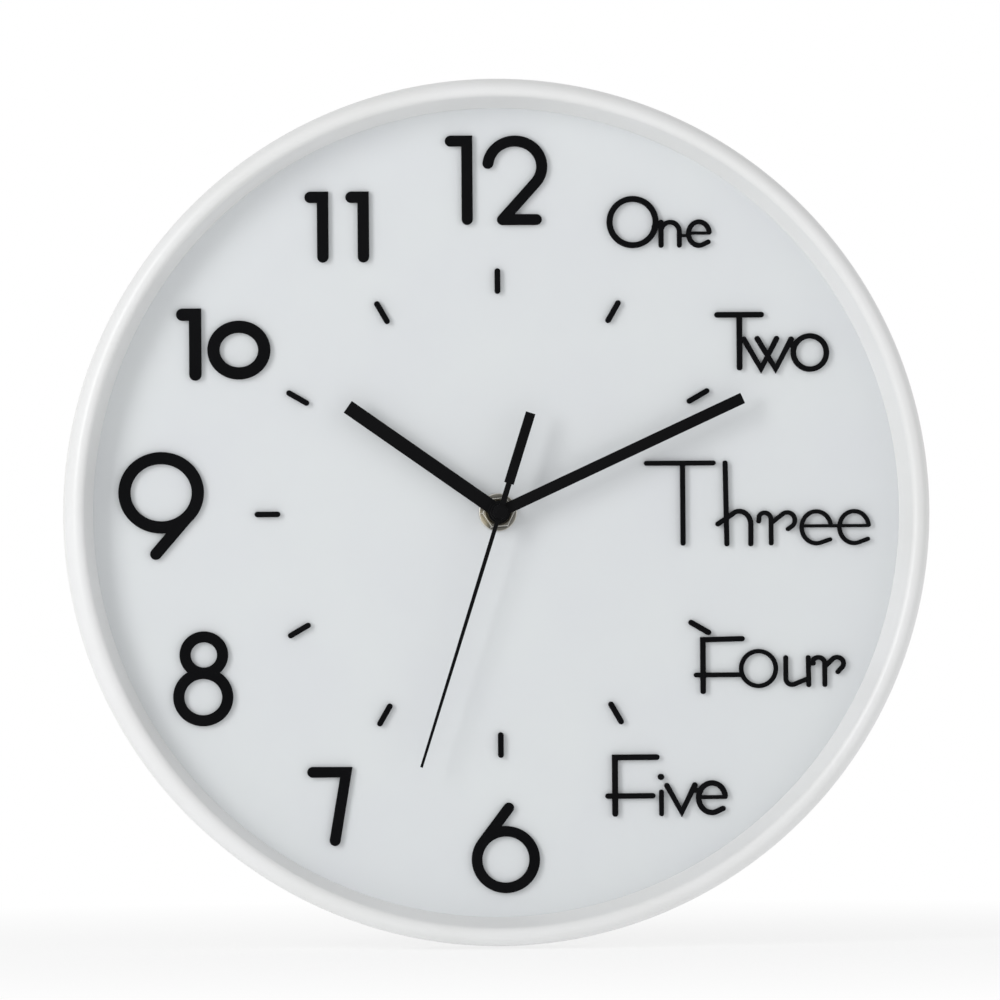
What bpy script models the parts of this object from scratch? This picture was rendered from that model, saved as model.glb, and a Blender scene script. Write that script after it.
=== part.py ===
"""Quartz wall clock, 305 mm across, with raised numerals on the left and hour words on the right.

Every piece is modelled in the dial's own frame: x to the right and y up as seen from the front, and
heights forward from the middle of the clock's depth. One empty stands that frame upright, so the
dial faces -Y and +Z is up. Lengths are in metres.
"""

import math

import bmesh
import bpy
from mathutils import Matrix, Vector

# Clearances
SEAT_GAP = 0.0003
FIT_GAP = 0.00015
OVERRUN = 0.001
WELD = 0.000001

# Facets round a turned piece, and the step of a curved stroke in degrees
RING_STEPS = 48
HUB_STEPS = 20
DRUM_STEPS = 16
PIN_STEPS = 12
CELL_STEPS = 28
LETTER_ARC_STEP = 18
LETTER_CAP_STEPS = 4
PLANAR_ANGLE = 0.5
SHARP_ANGLE = 30

# Case
CASE_RADIUS = 0.1525
CASE_DEPTH = 0.038
CREST_HEIGHT = CASE_DEPTH / 2
WALL_HEIGHT = -CASE_DEPTH / 2

# Front rim: a rolled lip with a straight skirt outside and a sloping wall down to the dial inside
RIM_CREST_INSET = 0.0043
RIM_CREST_FLAT = 0.0008
RIM_LIP_ROUND = 0.0027
RIM_LIP_TURN = 72
RIM_SLOPE_WIDTH = 0.0032
RIM_SHOULDER_DROP = 0.0068
RIM_SKIRT = 0.004
RIM_WALL = 0.0023
RIM_ARC_STEPS = 5
RIM_LIP_STEPS = 3
RIM_CREST_RADIUS = CASE_RADIUS - RIM_CREST_INSET
RIM_EDGE_RADIUS = RIM_CREST_RADIUS - RIM_LIP_ROUND * math.sin(math.radians(RIM_LIP_TURN))
RIM_FOOT_RADIUS = RIM_EDGE_RADIUS - RIM_SLOPE_WIDTH
SKIRT_END = CREST_HEIGHT - RIM_SHOULDER_DROP - RIM_SKIRT

# Dial
DIAL_DROP = 0.012
DIAL_THICKNESS = 0.0025
DIAL_OVERLAP = 0.0015
DIAL_FRONT = CREST_HEIGHT - DIAL_DROP
DIAL_BACK = DIAL_FRONT - DIAL_THICKNESS
DIAL_RADIUS = RIM_FOOT_RADIUS + DIAL_OVERLAP

# Rear case
REAR_STEP = 0.0003
REAR_WALL = 0.0025
BACK_WALL = 0.0022
BACK_RISE = 0.002
BACK_RING_WIDTH = 0.007
BACK_ROUNDING = 0.0022
BACK_ARC_STEPS = 3
LEDGE_REACH = 0.0034
LEDGE_THICKNESS = 0.002
REAR_RADIUS = CASE_RADIUS - REAR_STEP
REAR_INSIDE_RADIUS = REAR_RADIUS - REAR_WALL
COLLAR_END = SKIRT_END - SEAT_GAP
LEDGE_TOP = DIAL_BACK - SEAT_GAP
BACK_OUTSIDE = WALL_HEIGHT + BACK_RISE
BACK_INSIDE = BACK_OUTSIDE + BACK_WALL
BACK_CORE_RADIUS = 0.02

# Keyhole in the back wall
KEYHOLE_RISE = 0.11
KEYHOLE_HEAD_RADIUS = 0.0045
KEYHOLE_SLOT_RADIUS = 0.00225
KEYHOLE_SLOT_LENGTH = 0.008

# Case screws, in posts of the rear case and bosses of the rim
SCREW_ANGLES = (90, 210, 330)
SCREW_RADIUS = 0.0013
SCREW_HEAD_RADIUS = 0.0025
SCREW_HEAD_HEIGHT = 0.0018
SCREW_LENGTH = 0.011
SCREW_SLOT_WIDTH = 0.0007
SCREW_SLOT_DEPTH = 0.0008
POST_WALL = 0.0012
POST_FLOOR = 0.003
SCREW_CIRCLE = (REAR_INSIDE_RADIUS + DIAL_RADIUS) / 2
BOSS_RADIUS = (REAR_INSIDE_RADIUS - DIAL_RADIUS) / 2 - SEAT_GAP * 2
COUNTERBORE_RADIUS = SCREW_HEAD_RADIUS + SEAT_GAP
SCREW_SEAT = LEDGE_TOP - POST_FLOOR
SCREW_HEAD_TOP = SCREW_SEAT - SEAT_GAP
SCREW_TIP = SCREW_HEAD_TOP + SCREW_LENGTH

# Quartz movement: a square case with the cell's bay along its lower edge
MOVEMENT_SIDE = 0.056
MOVEMENT_WALL = 0.0015
MOVEMENT_FRONT_WALL = 0.0016
MOVEMENT_ROOM = 0.0131
MOVEMENT_ACCESS_GAP = 0.003
COVER_THICKNESS = 0.0014
BAY_WALL = 0.0012
CELL_RADIUS = 0.00725
CELL_LENGTH = 0.0505
CELL_NUB_RADIUS = 0.00275
CELL_NUB_LENGTH = 0.001
CELL_ROUNDING = 0.0006
STRIP_THICKNESS = 0.0004
STRIP_WIDTH = 0.006
STRIP_DEPTH = 0.005
PIVOT_DEPTH = 0.0008
MOVEMENT_FRONT = DIAL_BACK - SEAT_GAP
INSIDE_FRONT = MOVEMENT_FRONT - MOVEMENT_FRONT_WALL
ROOM_END = INSIDE_FRONT - MOVEMENT_ROOM
COVER_FRONT = ROOM_END - SEAT_GAP
COVER_BACK = COVER_FRONT - COVER_THICKNESS
MOVEMENT_HALF = MOVEMENT_SIDE / 2
ROOM_TOP = MOVEMENT_HALF - MOVEMENT_WALL
BAY_BOTTOM = -ROOM_TOP
BAY_TOP = BAY_BOTTOM + CELL_RADIUS * 2 + SEAT_GAP * 2
ROOM_BOTTOM = BAY_TOP + BAY_WALL
STRIP_PLACE = CELL_LENGTH / 2 + SEAT_GAP + STRIP_THICKNESS / 2
ROOM_HALF = STRIP_PLACE + STRIP_THICKNESS / 2 + SEAT_GAP
CELL_PLACE = (BAY_BOTTOM + BAY_TOP) / 2
CELL_HEIGHT = INSIDE_FRONT - SEAT_GAP - CELL_RADIUS

# Gear train. Each wheel lies in a layer, counted from the movement's front wall.
LAYER_START = 0.0004
LAYER_STEP = 0.0015
GEAR_THICKNESS = 0.0008
ARBOR_RADIUS = 0.0005
TRAIN_DISTANCE = 0.01
ROTOR_DISTANCE = 0.007
MOTION_DISTANCE = 0.007
THIRD_AZIMUTH = 150
FIFTH_AZIMUTH = 60
ROTOR_AZIMUTH = 30
MOTION_AZIMUTH = 205
CENTRE_TEETH = 64
THIRD_TEETH = 60
SECOND_TEETH = 40
FIFTH_TEETH = 36
HOUR_TEETH = 32
MINUTE_TEETH = 30
CANNON_TEETH = 10
TRAIN_PINION_TEETH = 8
ROTOR_TEETH = 6
WHEEL_TOOTH_SHARES = ((0.0, 1.0), (0.5, -1.2))
PINION_TOOTH_SHARES = ((-0.27, -1.3), (-0.12, 0.6), (0.12, 0.6), (0.27, -1.3))
KNOB_RIB_SHARES = ((-0.3, 0.0), (0.0, 0.0), (0.2, -0.5), (0.5, -0.5))
CANNON_NECK_RADIUS = 0.0012
CANNON_HUB_LENGTH = 0.0003
MINUTE_SLEEVE_RADIUS = 0.0009
MINUTE_POST_RADIUS = 0.00045
KNOB_SHAFT_RADIUS = 0.0012
KNOB_RADIUS = 0.0045
KNOB_THICKNESS = 0.003
KNOB_RIBS = 20

# Motor and circuit
MAGNET_RADIUS = 0.0028
MAGNET_LENGTH = 0.002
MAGNET_GAP = 0.0005
STATOR_THICKNESS = 0.0012
STATOR_HOLE_GAP = 0.0004
STATOR_BAR_WIDTH = 0.0085
STATOR_ARM_WIDTH = 0.0038
STATOR_HEIGHT = 0.024
STATOR_LENGTH = 0.018
COIL_SPACING = 0.0145
CORE_WIDTH = 0.003
CORE_INSET = 0.0005
WINDING_RADIUS = 0.0034
WINDING_LENGTH = 0.014
FLANGE_RADIUS = 0.0037
FLANGE_THICKNESS = 0.0008
PEG_RADIUS = 0.0009
BOARD_LENGTH = 0.0282
BOARD_WIDTH = 0.0095
BOARD_THICKNESS = 0.0008
BOARD_DEPTH = 0.0102
CHIP_SIDE = 0.006
CHIP_RISE = 0.0009
CRYSTAL_RADIUS = 0.001
CRYSTAL_LENGTH = 0.006

# Bushing and nut that clamp the movement to the dial
BUSHING_RADIUS = 0.004
BUSHING_FLANGE_RADIUS = 0.0055
BUSHING_FLANGE_THICKNESS = 0.0008
BUSHING_SHOW = 0.0004
NUT_FLANGE_RADIUS = 0.0067
NUT_FLANGE_THICKNESS = 0.001
NUT_BASE_RADIUS = 0.00645
NUT_TOP_RADIUS = 0.0056
NUT_HEX_HEIGHT = 0.0029
NUT_SIDES = 6
NUT_TURN = 4
NUT_FRONT = DIAL_FRONT + SEAT_GAP + NUT_FLANGE_THICKNESS + NUT_HEX_HEIGHT
BUSHING_FRONT = NUT_FRONT + BUSHING_SHOW

# Pipes of the hands, one inside the other
HOUR_PIPE_RADIUS = 0.0025
MINUTE_PIPE_RADIUS = 0.0016
PIPE_SHOW = 0.0001
HAND_GAP = 0.0007

# Hands. Each blade lies on its hub, the ends of the pipes show in the middle.
HUB_HEIGHT = 0.0013
BLADE_RISE = 0.0003
BLADE_THICKNESS = 0.0006
HOUR_HAND_LENGTH = 0.0651
HOUR_HAND_WIDTH = 0.0047
HOUR_HUB_RADIUS = 0.004
HOUR_HAND_ANGLE = 305.1
MINUTE_HAND_LENGTH = 0.0943
MINUTE_HAND_WIDTH = 0.0037
MINUTE_HUB_RADIUS = 0.0033
MINUTE_HAND_ANGLE = 64.7
SECOND_HAND_LENGTH = 0.094
SECOND_ROOT_WIDTH = 0.00125
SECOND_TIP_WIDTH = 0.0007
SECOND_NECK_WIDTH = 0.0017
SECOND_NECK_LENGTH = 0.0105
SECOND_TAIL_WIDTH = 0.0032
SECOND_TAIL_LENGTH = 0.0365
SECOND_HUB_RADIUS = 0.0026
SECOND_HUB_HEIGHT = 0.0016
SECOND_CAP = 0.0005
SECOND_BLADE_THICKNESS = 0.0004
SECOND_HAND_ANGLE = 197.3
HOUR_HUB_BACK = BUSHING_FRONT + HAND_GAP
MINUTE_HUB_BACK = HOUR_HUB_BACK + HUB_HEIGHT + HAND_GAP
SECOND_HUB_BACK = MINUTE_HUB_BACK + HUB_HEIGHT + HAND_GAP
ARBOR_FRONT = SECOND_HUB_BACK + SECOND_HUB_HEIGHT - SECOND_CAP

# The lettering and the bars are laid out in shares of a circle just inside the rim's foot
LETTERED_MARGIN = 0.0006
LETTERED_RADIUS = RIM_FOOT_RADIUS - LETTERED_MARGIN

# Index bars, one at each hour but 3
BAR_CIRCLE_SHARE = 0.576
BAR_CIRCLE = LETTERED_RADIUS * BAR_CIRCLE_SHARE
BAR_LENGTH = 0.009
BAR_WIDTH = 0.00195
BARE_HOUR = 3
HOURS = 12

# Lettering: raised solids, 1.5 mm high. Places and heights are shares of the lettered circle's radius. The
# strokes are as wide as a share of their lettering's height, and run through points in shares of that
# height, measured from its place.
LETTER_RISE = 0.0015
LETTER_GAP = 0.0002
LETTER_PLACE_SHARES = {
    "12": (-0.001, 0.826),
    "11": (-0.399, 0.711),
    "10": (-0.681, 0.421),
    "9": (-0.839, 0.0215),
    "8": (-0.7365, -0.407),
    "7": (-0.426, -0.725),
    "6": (0.0105, -0.832),
    "one": (0.4305, 0.721),
    "two": (0.671, 0.423),
    "three": (0.649, 0.0195),
    "four": (0.678, -0.382),
    "five": (0.4135, -0.68),
}
LETTER_HEIGHT_SHARES = {
    "12": 0.222,
    "11": 0.1775,
    "10": 0.179,
    "9": 0.268,
    "8": 0.237,
    "7": 0.197,
    "6": 0.225,
    "one": 0.13,
    "two": 0.143,
    "three": 0.215,
    "four": 0.1435,
    "five": 0.1535,
}
STROKE_WIDTH_SHARES = {
    "12": 0.122,
    "11": 0.158,
    "10": 0.17,
    "9": 0.113,
    "8": 0.116,
    "7": 0.136,
    "6": 0.116,
    "one": 0.1135,
    "two": 0.0985,
    "three": 0.0605,
    "four": 0.0935,
    "five": 0.094,
}
LETTER_CORNER_LIMIT = 1.45


def arc(x, y, across, up, start, end):
    """Points along part of an ellipse, from one angle to the other in degrees."""
    steps = max(2, round(abs(end - start) / LETTER_ARC_STEP))
    angles = [math.radians(start + (end - start) * step / steps) for step in range(steps + 1)]
    return [(x + across * math.cos(angle), y + up * math.sin(angle)) for angle in angles]


def line(points, width_share=1.0):
    """An open stroke with round ends."""
    return {"points": points, "width_share": width_share, "closed": False}


def ring(x, y, across, up, width_share=1.0):
    """A stroke that closes on itself."""
    return {"points": arc(x, y, across, up, 0, 360)[:-1], "width_share": width_share, "closed": True}


LETTER_STROKE_SHARES = {
    "numeral_12_one": ("12", [line([(-0.513, 0.44), (-0.329, 0.44), (-0.329, -0.438)])]),
    "numeral_12_two": (
        "12",
        [
            line([*arc(0.209, 0.155, 0.303, 0.284, 173, -37), (0.067, -0.441)]),
            line([(0.067, -0.441), (0.447, -0.441)]),
        ],
    ),
    "numeral_11_left": ("11", [line([(-0.37, 0.417), (-0.196, 0.417), (-0.196, -0.417)])]),
    "numeral_11_right": ("11", [line([(0.203, 0.417), (0.372, 0.417), (0.372, -0.417)])]),
    "numeral_10_one": ("10", [line([(-0.575, 0.415), (-0.397, 0.415), (-0.397, -0.415)])]),
    "numeral_10_zero": ("10", [ring(0.207, -0.078, 0.352, 0.323)]),
    "numeral_9": ("9", [ring(0.0, 0.124, 0.339, 0.32), line([(0.278, -0.06), (-0.052, -0.442)], 0.95)]),
    "numeral_8": ("8", [ring(0.002, 0.252, 0.196, 0.189), ring(-0.007, -0.188, 0.256, 0.247)]),
    "numeral_7": ("7", [line([(-0.214, 0.431), (0.211, 0.431), (0.062, -0.43)])]),
    "numeral_6": ("6", [ring(0.0, -0.128, 0.319, 0.312), line([(-0.261, 0.051), (0.036, 0.442)])]),
    "word_one": (
        "one",
        [
            ring(-0.707, 0.0, 0.443, 0.443),
            line([(-0.162, -0.006), (-0.162, -0.446)], 0.85),
            line([(-0.29, -0.09), (-0.16, -0.07)], 0.9),
            line([*arc(0.015, -0.184, 0.175, 0.18, 165, 0), (0.19, -0.448)], 0.8),
            line([(0.19, -0.262), (0.38, -0.262)], 0.5),
            line([*arc(0.568, -0.225, 0.2, 0.226, 8, 285), (0.745, -0.385)], 0.82),
            line([(0.38, -0.215), (0.77, -0.215)], 0.52),
        ],
    ),
    "word_two": (
        "two",
        [
            line([(-0.857, 0.463), (-0.089, 0.463)]),
            line([(-0.47, 0.463), (-0.47, -0.457)]),
            line([(-0.395, 0.04), (-0.095, -0.495), (0.18, 0.046)], 0.95),
            line([(-0.158, 0.046), (0.16, -0.497), (0.435, 0.035)], 0.95),
            line([(0.4, -0.07), (0.52, -0.04)]),
            ring(0.763, -0.2, 0.29, 0.29, 0.95),
        ],
    ),
    "word_three_t": (
        "three",
        [line([(-1.304, 0.47), (-0.528, 0.47)]), line([(-0.885, 0.47), (-0.885, -0.457)])],
    ),
    "word_three_hr": (
        "three",
        [
            line([(-0.398, 0.469), (-0.384, -0.468)]),
            line([(-0.482, -0.237), *arc(-0.231, -0.247, 0.134, 0.156, 130, 0), (-0.099, -0.47)]),
            line([(-0.097, -0.235), (-0.02, -0.205)], 0.5),
            line([*arc(0.049, -0.192, 0.08, 0.082, 180, 0), (0.133, -0.463)], 0.92),
            line([(0.135, -0.228), *arc(0.325, -0.198, 0.088, 0.09, 130, -50), (0.332, -0.3)], 0.9),
        ],
    ),
    "word_three_ee": (
        "three",
        [
            line([*arc(0.669, -0.283, 0.171, 0.185, 8, 285), (0.828, -0.424)], 0.86),
            line([*arc(1.11, -0.283, 0.171, 0.185, 8, 285), (1.27, -0.42)], 0.86),
            line([(0.505, -0.266), (1.275, -0.266)], 0.66),
        ],
    ),
    "word_four_fo": (
        "four",
        [
            line([(-0.514, 0.451), (-1.197, 0.438), (-1.197, -0.458)]),
            line([(-1.316, -0.173), (-0.53, -0.173)], 0.9),
            ring(-0.229, -0.069, 0.302, 0.302, 0.82),
        ],
    ),
    "word_four_ur": (
        "four",
        [
            line([(0.247, 0.117), *arc(0.355, -0.245, 0.108, 0.108, 180, 290), (0.633, -0.25)], 0.87),
            line([(0.64, 0.117), (0.648, -0.358)], 0.87),
            line([(0.65, 0.015), (0.73, 0.015)], 0.87),
            line([*arc(0.818, 0.015, 0.109, 0.102, 180, 0), (0.928, -0.358)], 0.87),
            line([(0.94, -0.035), *arc(1.144, 0.01, 0.113, 0.107, 130, -50), (1.157, -0.137)], 0.87),
        ],
    ),
    "word_five_f": (
        "five",
        [
            line([(-0.164, 0.456), (-0.843, 0.456), (-0.843, -0.456)]),
            line([(-0.958, -0.169), (-0.232, -0.169)], 0.95),
        ],
    ),
    "word_five_i_stem": ("five", [line([(-0.089, -0.107), (-0.089, -0.465)], 0.8)]),
    "word_five_i_dot": ("five", [line([(-0.097, 0.135), (-0.093, 0.135)], 1.07)]),
    "word_five_ve": (
        "five",
        [
            line([(0.001, -0.006), (0.24, -0.456), (0.456, 0.0)], 0.93),
            line([(0.44, -0.08), (0.55, -0.1)], 0.9),
            line([*arc(0.734, -0.21, 0.217, 0.24, 8, 285), (0.912, -0.385)], 0.93),
            line([(0.53, -0.2), (0.955, -0.2)], 0.68),
        ],
    ),
}

# Finishes: colour, roughness, metallic
WHITE_PLASTIC = ((0.80, 0.81, 0.80, 1.0), 0.35, 0.0)
DIAL_PAINT = ((0.66, 0.68, 0.70, 1.0), 0.6, 0.0)
BLACK_PLASTIC = ((0.008, 0.008, 0.009, 1.0), 0.4, 0.0)
BLACK_PAINT = ((0.01, 0.01, 0.011, 1.0), 0.5, 0.0)
MOVEMENT_PLASTIC = ((0.02, 0.02, 0.022, 1.0), 0.55, 0.0)
GEAR_PLASTIC = ((0.75, 0.74, 0.68, 1.0), 0.45, 0.0)
KNOB_PLASTIC = ((0.55, 0.08, 0.05, 1.0), 0.45, 0.0)
NICKEL = ((0.52, 0.50, 0.44, 1.0), 0.25, 1.0)
BRASS = ((0.62, 0.48, 0.22, 1.0), 0.3, 1.0)
STEEL = ((0.55, 0.55, 0.56, 1.0), 0.3, 1.0)
CELL_SLEEVE = ((0.05, 0.09, 0.16, 1.0), 0.3, 0.2)
BOARD_GREEN = ((0.02, 0.12, 0.05, 1.0), 0.5, 0.0)
COPPER = ((0.55, 0.24, 0.10, 1.0), 0.35, 1.0)
MAGNET_GREY = ((0.12, 0.12, 0.13, 1.0), 0.4, 0.6)


def clear_scene():
    for item in list(bpy.data.objects):
        bpy.data.objects.remove(item, do_unlink=True)


def new_collection(name):
    collection = bpy.data.collections.new(name)
    bpy.context.scene.collection.children.link(collection)
    return collection


clear_scene()
clock = new_collection("wall_clock")
cutters = new_collection("cutters")
dial_frame = bpy.data.objects.new("dial_frame", None)
dial_frame.rotation_euler = (math.radians(90), 0, 0)
clock.objects.link(dial_frame)


def place_object(name, mesh):
    body = bpy.data.objects.new(name, mesh)
    body.parent = dial_frame
    clock.objects.link(body)
    return body


def from_bmesh(name, bm):
    mesh = bpy.data.meshes.new(name)
    bm.to_mesh(mesh)
    bm.free()
    return place_object(name, mesh)


def box(name, low_corner, high_corner):
    """A box between two corners, each in x, y and height."""
    low = Vector(low_corner)
    high = Vector(high_corner)
    bm = bmesh.new()
    bmesh.ops.create_cube(bm, size=1)
    bmesh.ops.scale(bm, vec=high - low, verts=bm.verts)
    bmesh.ops.translate(bm, vec=(low + high) / 2, verts=bm.verts)
    return from_bmesh(name, bm)


def cone(name, low_radius, high_radius, low, high, place=(0, 0), steps=HUB_STEPS):
    """A round or many-sided frustum that stands on the dial's plane, between two heights."""
    bm = bmesh.new()
    radii = {"radius1": low_radius, "radius2": high_radius}
    bmesh.ops.create_cone(bm, cap_ends=True, segments=steps, depth=high - low, **radii)
    bmesh.ops.translate(bm, vec=(place[0], place[1], (low + high) / 2), verts=bm.verts)
    body = from_bmesh(name, bm)
    body.data.shade_smooth()
    body.data.set_sharp_from_angle(angle=math.radians(SHARP_ANGLE))
    return body


def cylinder(name, radius, low, high, place=(0, 0), steps=HUB_STEPS):
    return cone(name, radius, radius, low, high, place, steps)


def pin(name, radius, low, high, place=(0, 0)):
    """A thin cylinder: an arbor, a peg, a pivot or the hole for one."""
    return cylinder(name, radius, low, high, place, PIN_STEPS)


def turned(name, profile, steps, closed=True):
    """Turns a profile of (radius, height) points round the axis. It runs down the outer side."""
    bm = bmesh.new()
    corners = [bm.verts.new((radius, 0, height)) for radius, height in profile]
    for start, end in zip(corners, corners[1:]):
        bm.edges.new((start, end))
    if closed:
        bm.edges.new((corners[-1], corners[0]))
    body = from_bmesh(name, bm)
    screw = body.modifiers.new("turn", "SCREW")
    screw.axis = "Z"
    screw.angle = math.tau
    screw.steps = steps
    screw.render_steps = steps
    screw.use_merge_vertices = True
    screw.merge_threshold = WELD
    return body


def prism(name, outlines, low, high):
    """A flat outline, with holes if it has more than one loop, raised between two heights."""
    curve = bpy.data.curves.new(name, "CURVE")
    curve.dimensions = "2D"
    curve.fill_mode = "BOTH"
    curve.extrude = (high - low) / 2
    for outline in outlines:
        spline = curve.splines.new("POLY")
        spline.points.add(len(outline) - 1)
        for corner, (x, y) in zip(spline.points, outline):
            corner.co = (x, y, 0, 1)
        spline.use_cyclic_u = True
    guide = bpy.data.objects.new(name + "_outline", curve)
    clock.objects.link(guide)
    guide.location.z = (low + high) / 2
    graph = bpy.context.evaluated_depsgraph_get()
    mesh = bpy.data.meshes.new_from_object(guide.evaluated_get(graph))
    mesh.transform(guide.evaluated_get(graph).matrix_world)
    bpy.data.objects.remove(guide, do_unlink=True)
    bm = bmesh.new()
    bm.from_mesh(mesh)
    bmesh.ops.remove_doubles(bm, verts=bm.verts, dist=WELD)
    bmesh.ops.recalc_face_normals(bm, faces=bm.faces)
    bm.to_mesh(mesh)
    bm.free()
    mesh.name = name
    return place_object(name, mesh)


def apply_tools(body, operation, tools):
    for tool in tools:
        modifier = body.modifiers.new(tool.name, "BOOLEAN")
        modifier.operation = operation
        modifier.solver = "EXACT"
        modifier.object = tool
        tool.hide_render = True
        tool.display_type = "WIRE"
        clock.objects.unlink(tool)
        cutters.objects.link(tool)
    return body


def join(body, *tools):
    return apply_tools(body, "UNION", tools)


def cut(body, *tools):
    return apply_tools(body, "DIFFERENCE", tools)


def put_origin(body, place):
    """Moves the origin to the joint's axis and leaves the shape where it is."""
    body.data.transform(Matrix.Translation((-place[0], -place[1], 0)))
    body.location = (place[0], place[1], 0)


def finish(body, look):
    """Joins the faces that lie in one plane, and gives the body its own material."""
    planar = body.modifiers.new("planar", "DECIMATE")
    planar.decimate_type = "DISSOLVE"
    planar.angle_limit = math.radians(PLANAR_ANGLE)
    colour, roughness, metallic = look
    material = bpy.data.materials.new(body.name)
    material.use_nodes = True
    surface = material.node_tree.nodes["Principled BSDF"]
    surface.inputs["Base Color"].default_value = colour
    surface.inputs["Roughness"].default_value = roughness
    surface.inputs["Metallic"].default_value = metallic
    body.data.materials.clear()
    body.data.materials.append(material)
    return body


def polar(distance, azimuth, centre=(0, 0)):
    """A place at a distance from a centre, its azimuth in degrees from +x, anticlockwise from the front."""
    angle = math.radians(azimuth)
    return (centre[0] + distance * math.cos(angle), centre[1] + distance * math.sin(angle))


def stroke_outline(points, width, cap_steps):
    """The loop round an open stroke: mitred corners, and round ends where it has cap steps."""
    path = [Vector(point) for point in points]
    normals = []
    for start, end in zip(path, path[1:]):
        along = (end - start).normalized()
        normals.append(Vector((-along.y, along.x)))
    left = []
    right = []
    for index, point in enumerate(path):
        before = normals[max(index - 1, 0)]
        after = normals[min(index, len(normals) - 1)]
        reach = (before + after) / (1 + before.dot(after))
        outer = reach * min(1, LETTER_CORNER_LIMIT / reach.length)
        turns_left = before.cross(after) > 0
        left.append(point + (reach if turns_left else outer) * width / 2)
        right.append(point - (outer if turns_left else reach) * width / 2)

    def cap(centre, offset):
        turns = [-math.pi * step / cap_steps for step in range(1, cap_steps)] if cap_steps else []
        return [centre + Matrix.Rotation(turn, 2) @ offset for turn in turns]

    end_cap = cap(path[-1], normals[-1] * width / 2)
    start_cap = cap(path[0], -normals[0] * width / 2)
    return left + end_cap + right[::-1] + start_cap


def ring_outlines(points, width):
    """The outer and the inner loop of a closed stroke."""
    path = [Vector(point) for point in points]
    outer = []
    inner = []
    for index, point in enumerate(path):
        along = (path[(index + 1) % len(path)] - path[index - 1]).normalized()
        outward = Vector((along.y, -along.x))
        outer.append(point + outward * width / 2)
        inner.append(point - outward * width / 2)
    return [outer, inner]


def layer_front(number):
    return INSIDE_FRONT - LAYER_START - LAYER_STEP * (number - 1)


def layer_back(number):
    return layer_front(number) - GEAR_THICKNESS


def module_of(distance, wheel_teeth, pinion_teeth):
    return distance * 2 / (wheel_teeth + pinion_teeth)


def gear(name, place, teeth, module, tooth_shares, azimuth, layer):
    """A toothed disc in a layer of the train. One tooth points along the azimuth."""
    outline = []
    for tooth in range(teeth):
        for turn_share, height_share in tooth_shares:
            turn = azimuth + (tooth + turn_share) / teeth * 360
            outline.append(polar(module * (teeth / 2 + height_share), turn, place))
    return prism(name, [outline], layer_back(layer), layer_front(layer))


def wheel(name, place, teeth, module, toward, layer):
    """A wheel with a tooth on the line to its pinion, which lies toward the azimuth."""
    return gear(name, place, teeth, module, WHEEL_TOOTH_SHARES, toward, layer)


def pinion(name, place, teeth, module, wheel_azimuth, layer):
    """A pinion with a gap on the line to its wheel, whose tooth lies in it."""
    half_tooth = 180 / teeth
    return gear(name, place, teeth, module, PINION_TOOTH_SHARES, wheel_azimuth + half_tooth, layer)


def ellipse_points(centre, radii, start, end, steps):
    """Points of a profile's arc, as (radius, height), from one angle to the other in degrees."""
    points = []
    for step in range(steps + 1):
        turn = math.radians(start + (end - start) * step / steps)
        points.append((centre[0] + radii[0] * math.cos(turn), centre[1] + radii[1] * math.sin(turn)))
    return points


# Places of the arbors, seen from the front
centre_place = (0, 0)
third_place = polar(TRAIN_DISTANCE, THIRD_AZIMUTH)
fifth_place = polar(TRAIN_DISTANCE, FIFTH_AZIMUTH)
rotor_place = polar(ROTOR_DISTANCE, ROTOR_AZIMUTH, fifth_place)
minute_place = polar(MOTION_DISTANCE, MOTION_AZIMUTH)
knob_place = polar(MOTION_DISTANCE * 2, MOTION_AZIMUTH)
centre_module = module_of(TRAIN_DISTANCE, CENTRE_TEETH, TRAIN_PINION_TEETH)
third_module = module_of(TRAIN_DISTANCE, THIRD_TEETH, TRAIN_PINION_TEETH)
second_module = module_of(TRAIN_DISTANCE, SECOND_TEETH, TRAIN_PINION_TEETH)
fifth_module = module_of(ROTOR_DISTANCE, FIFTH_TEETH, ROTOR_TEETH)
minute_module = module_of(MOTION_DISTANCE, MINUTE_TEETH, CANNON_TEETH)
hour_module = module_of(MOTION_DISTANCE, HOUR_TEETH, TRAIN_PINION_TEETH)
pivot_front = INSIDE_FRONT + PIVOT_DEPTH - FIT_GAP
pivot_back = COVER_FRONT - PIVOT_DEPTH + FIT_GAP
pivot_hole_radius = ARBOR_RADIUS + FIT_GAP

# Places of the motor's parts, from the rotor
stator_middle = layer_back(6) - MAGNET_GAP - MAGNET_LENGTH / 2
stator_front = stator_middle + STATOR_THICKNESS / 2
stator_back = stator_middle - STATOR_THICKNESS / 2
stator_left = rotor_place[0] - STATOR_BAR_WIDTH / 2
stator_bottom = rotor_place[1] - STATOR_HEIGHT / 2
stator_top = rotor_place[1] + STATOR_HEIGHT / 2
coil_x = stator_left + COIL_SPACING
core_back = stator_front + SEAT_GAP
core_front = core_back + STATOR_THICKNESS
board_left = -STRIP_PLACE + STRIP_THICKNESS / 2 + SEAT_GAP
board_right = board_left + BOARD_LENGTH
board_top = ROOM_TOP - SEAT_GAP
board_bottom = board_top - BOARD_WIDTH
board_front = INSIDE_FRONT - BOARD_DEPTH
strip_front = INSIDE_FRONT - STRIP_DEPTH
strip_back = strip_front - STRIP_WIDTH


def screw_places():
    return [polar(SCREW_CIRCLE, angle) for angle in SCREW_ANGLES]


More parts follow.
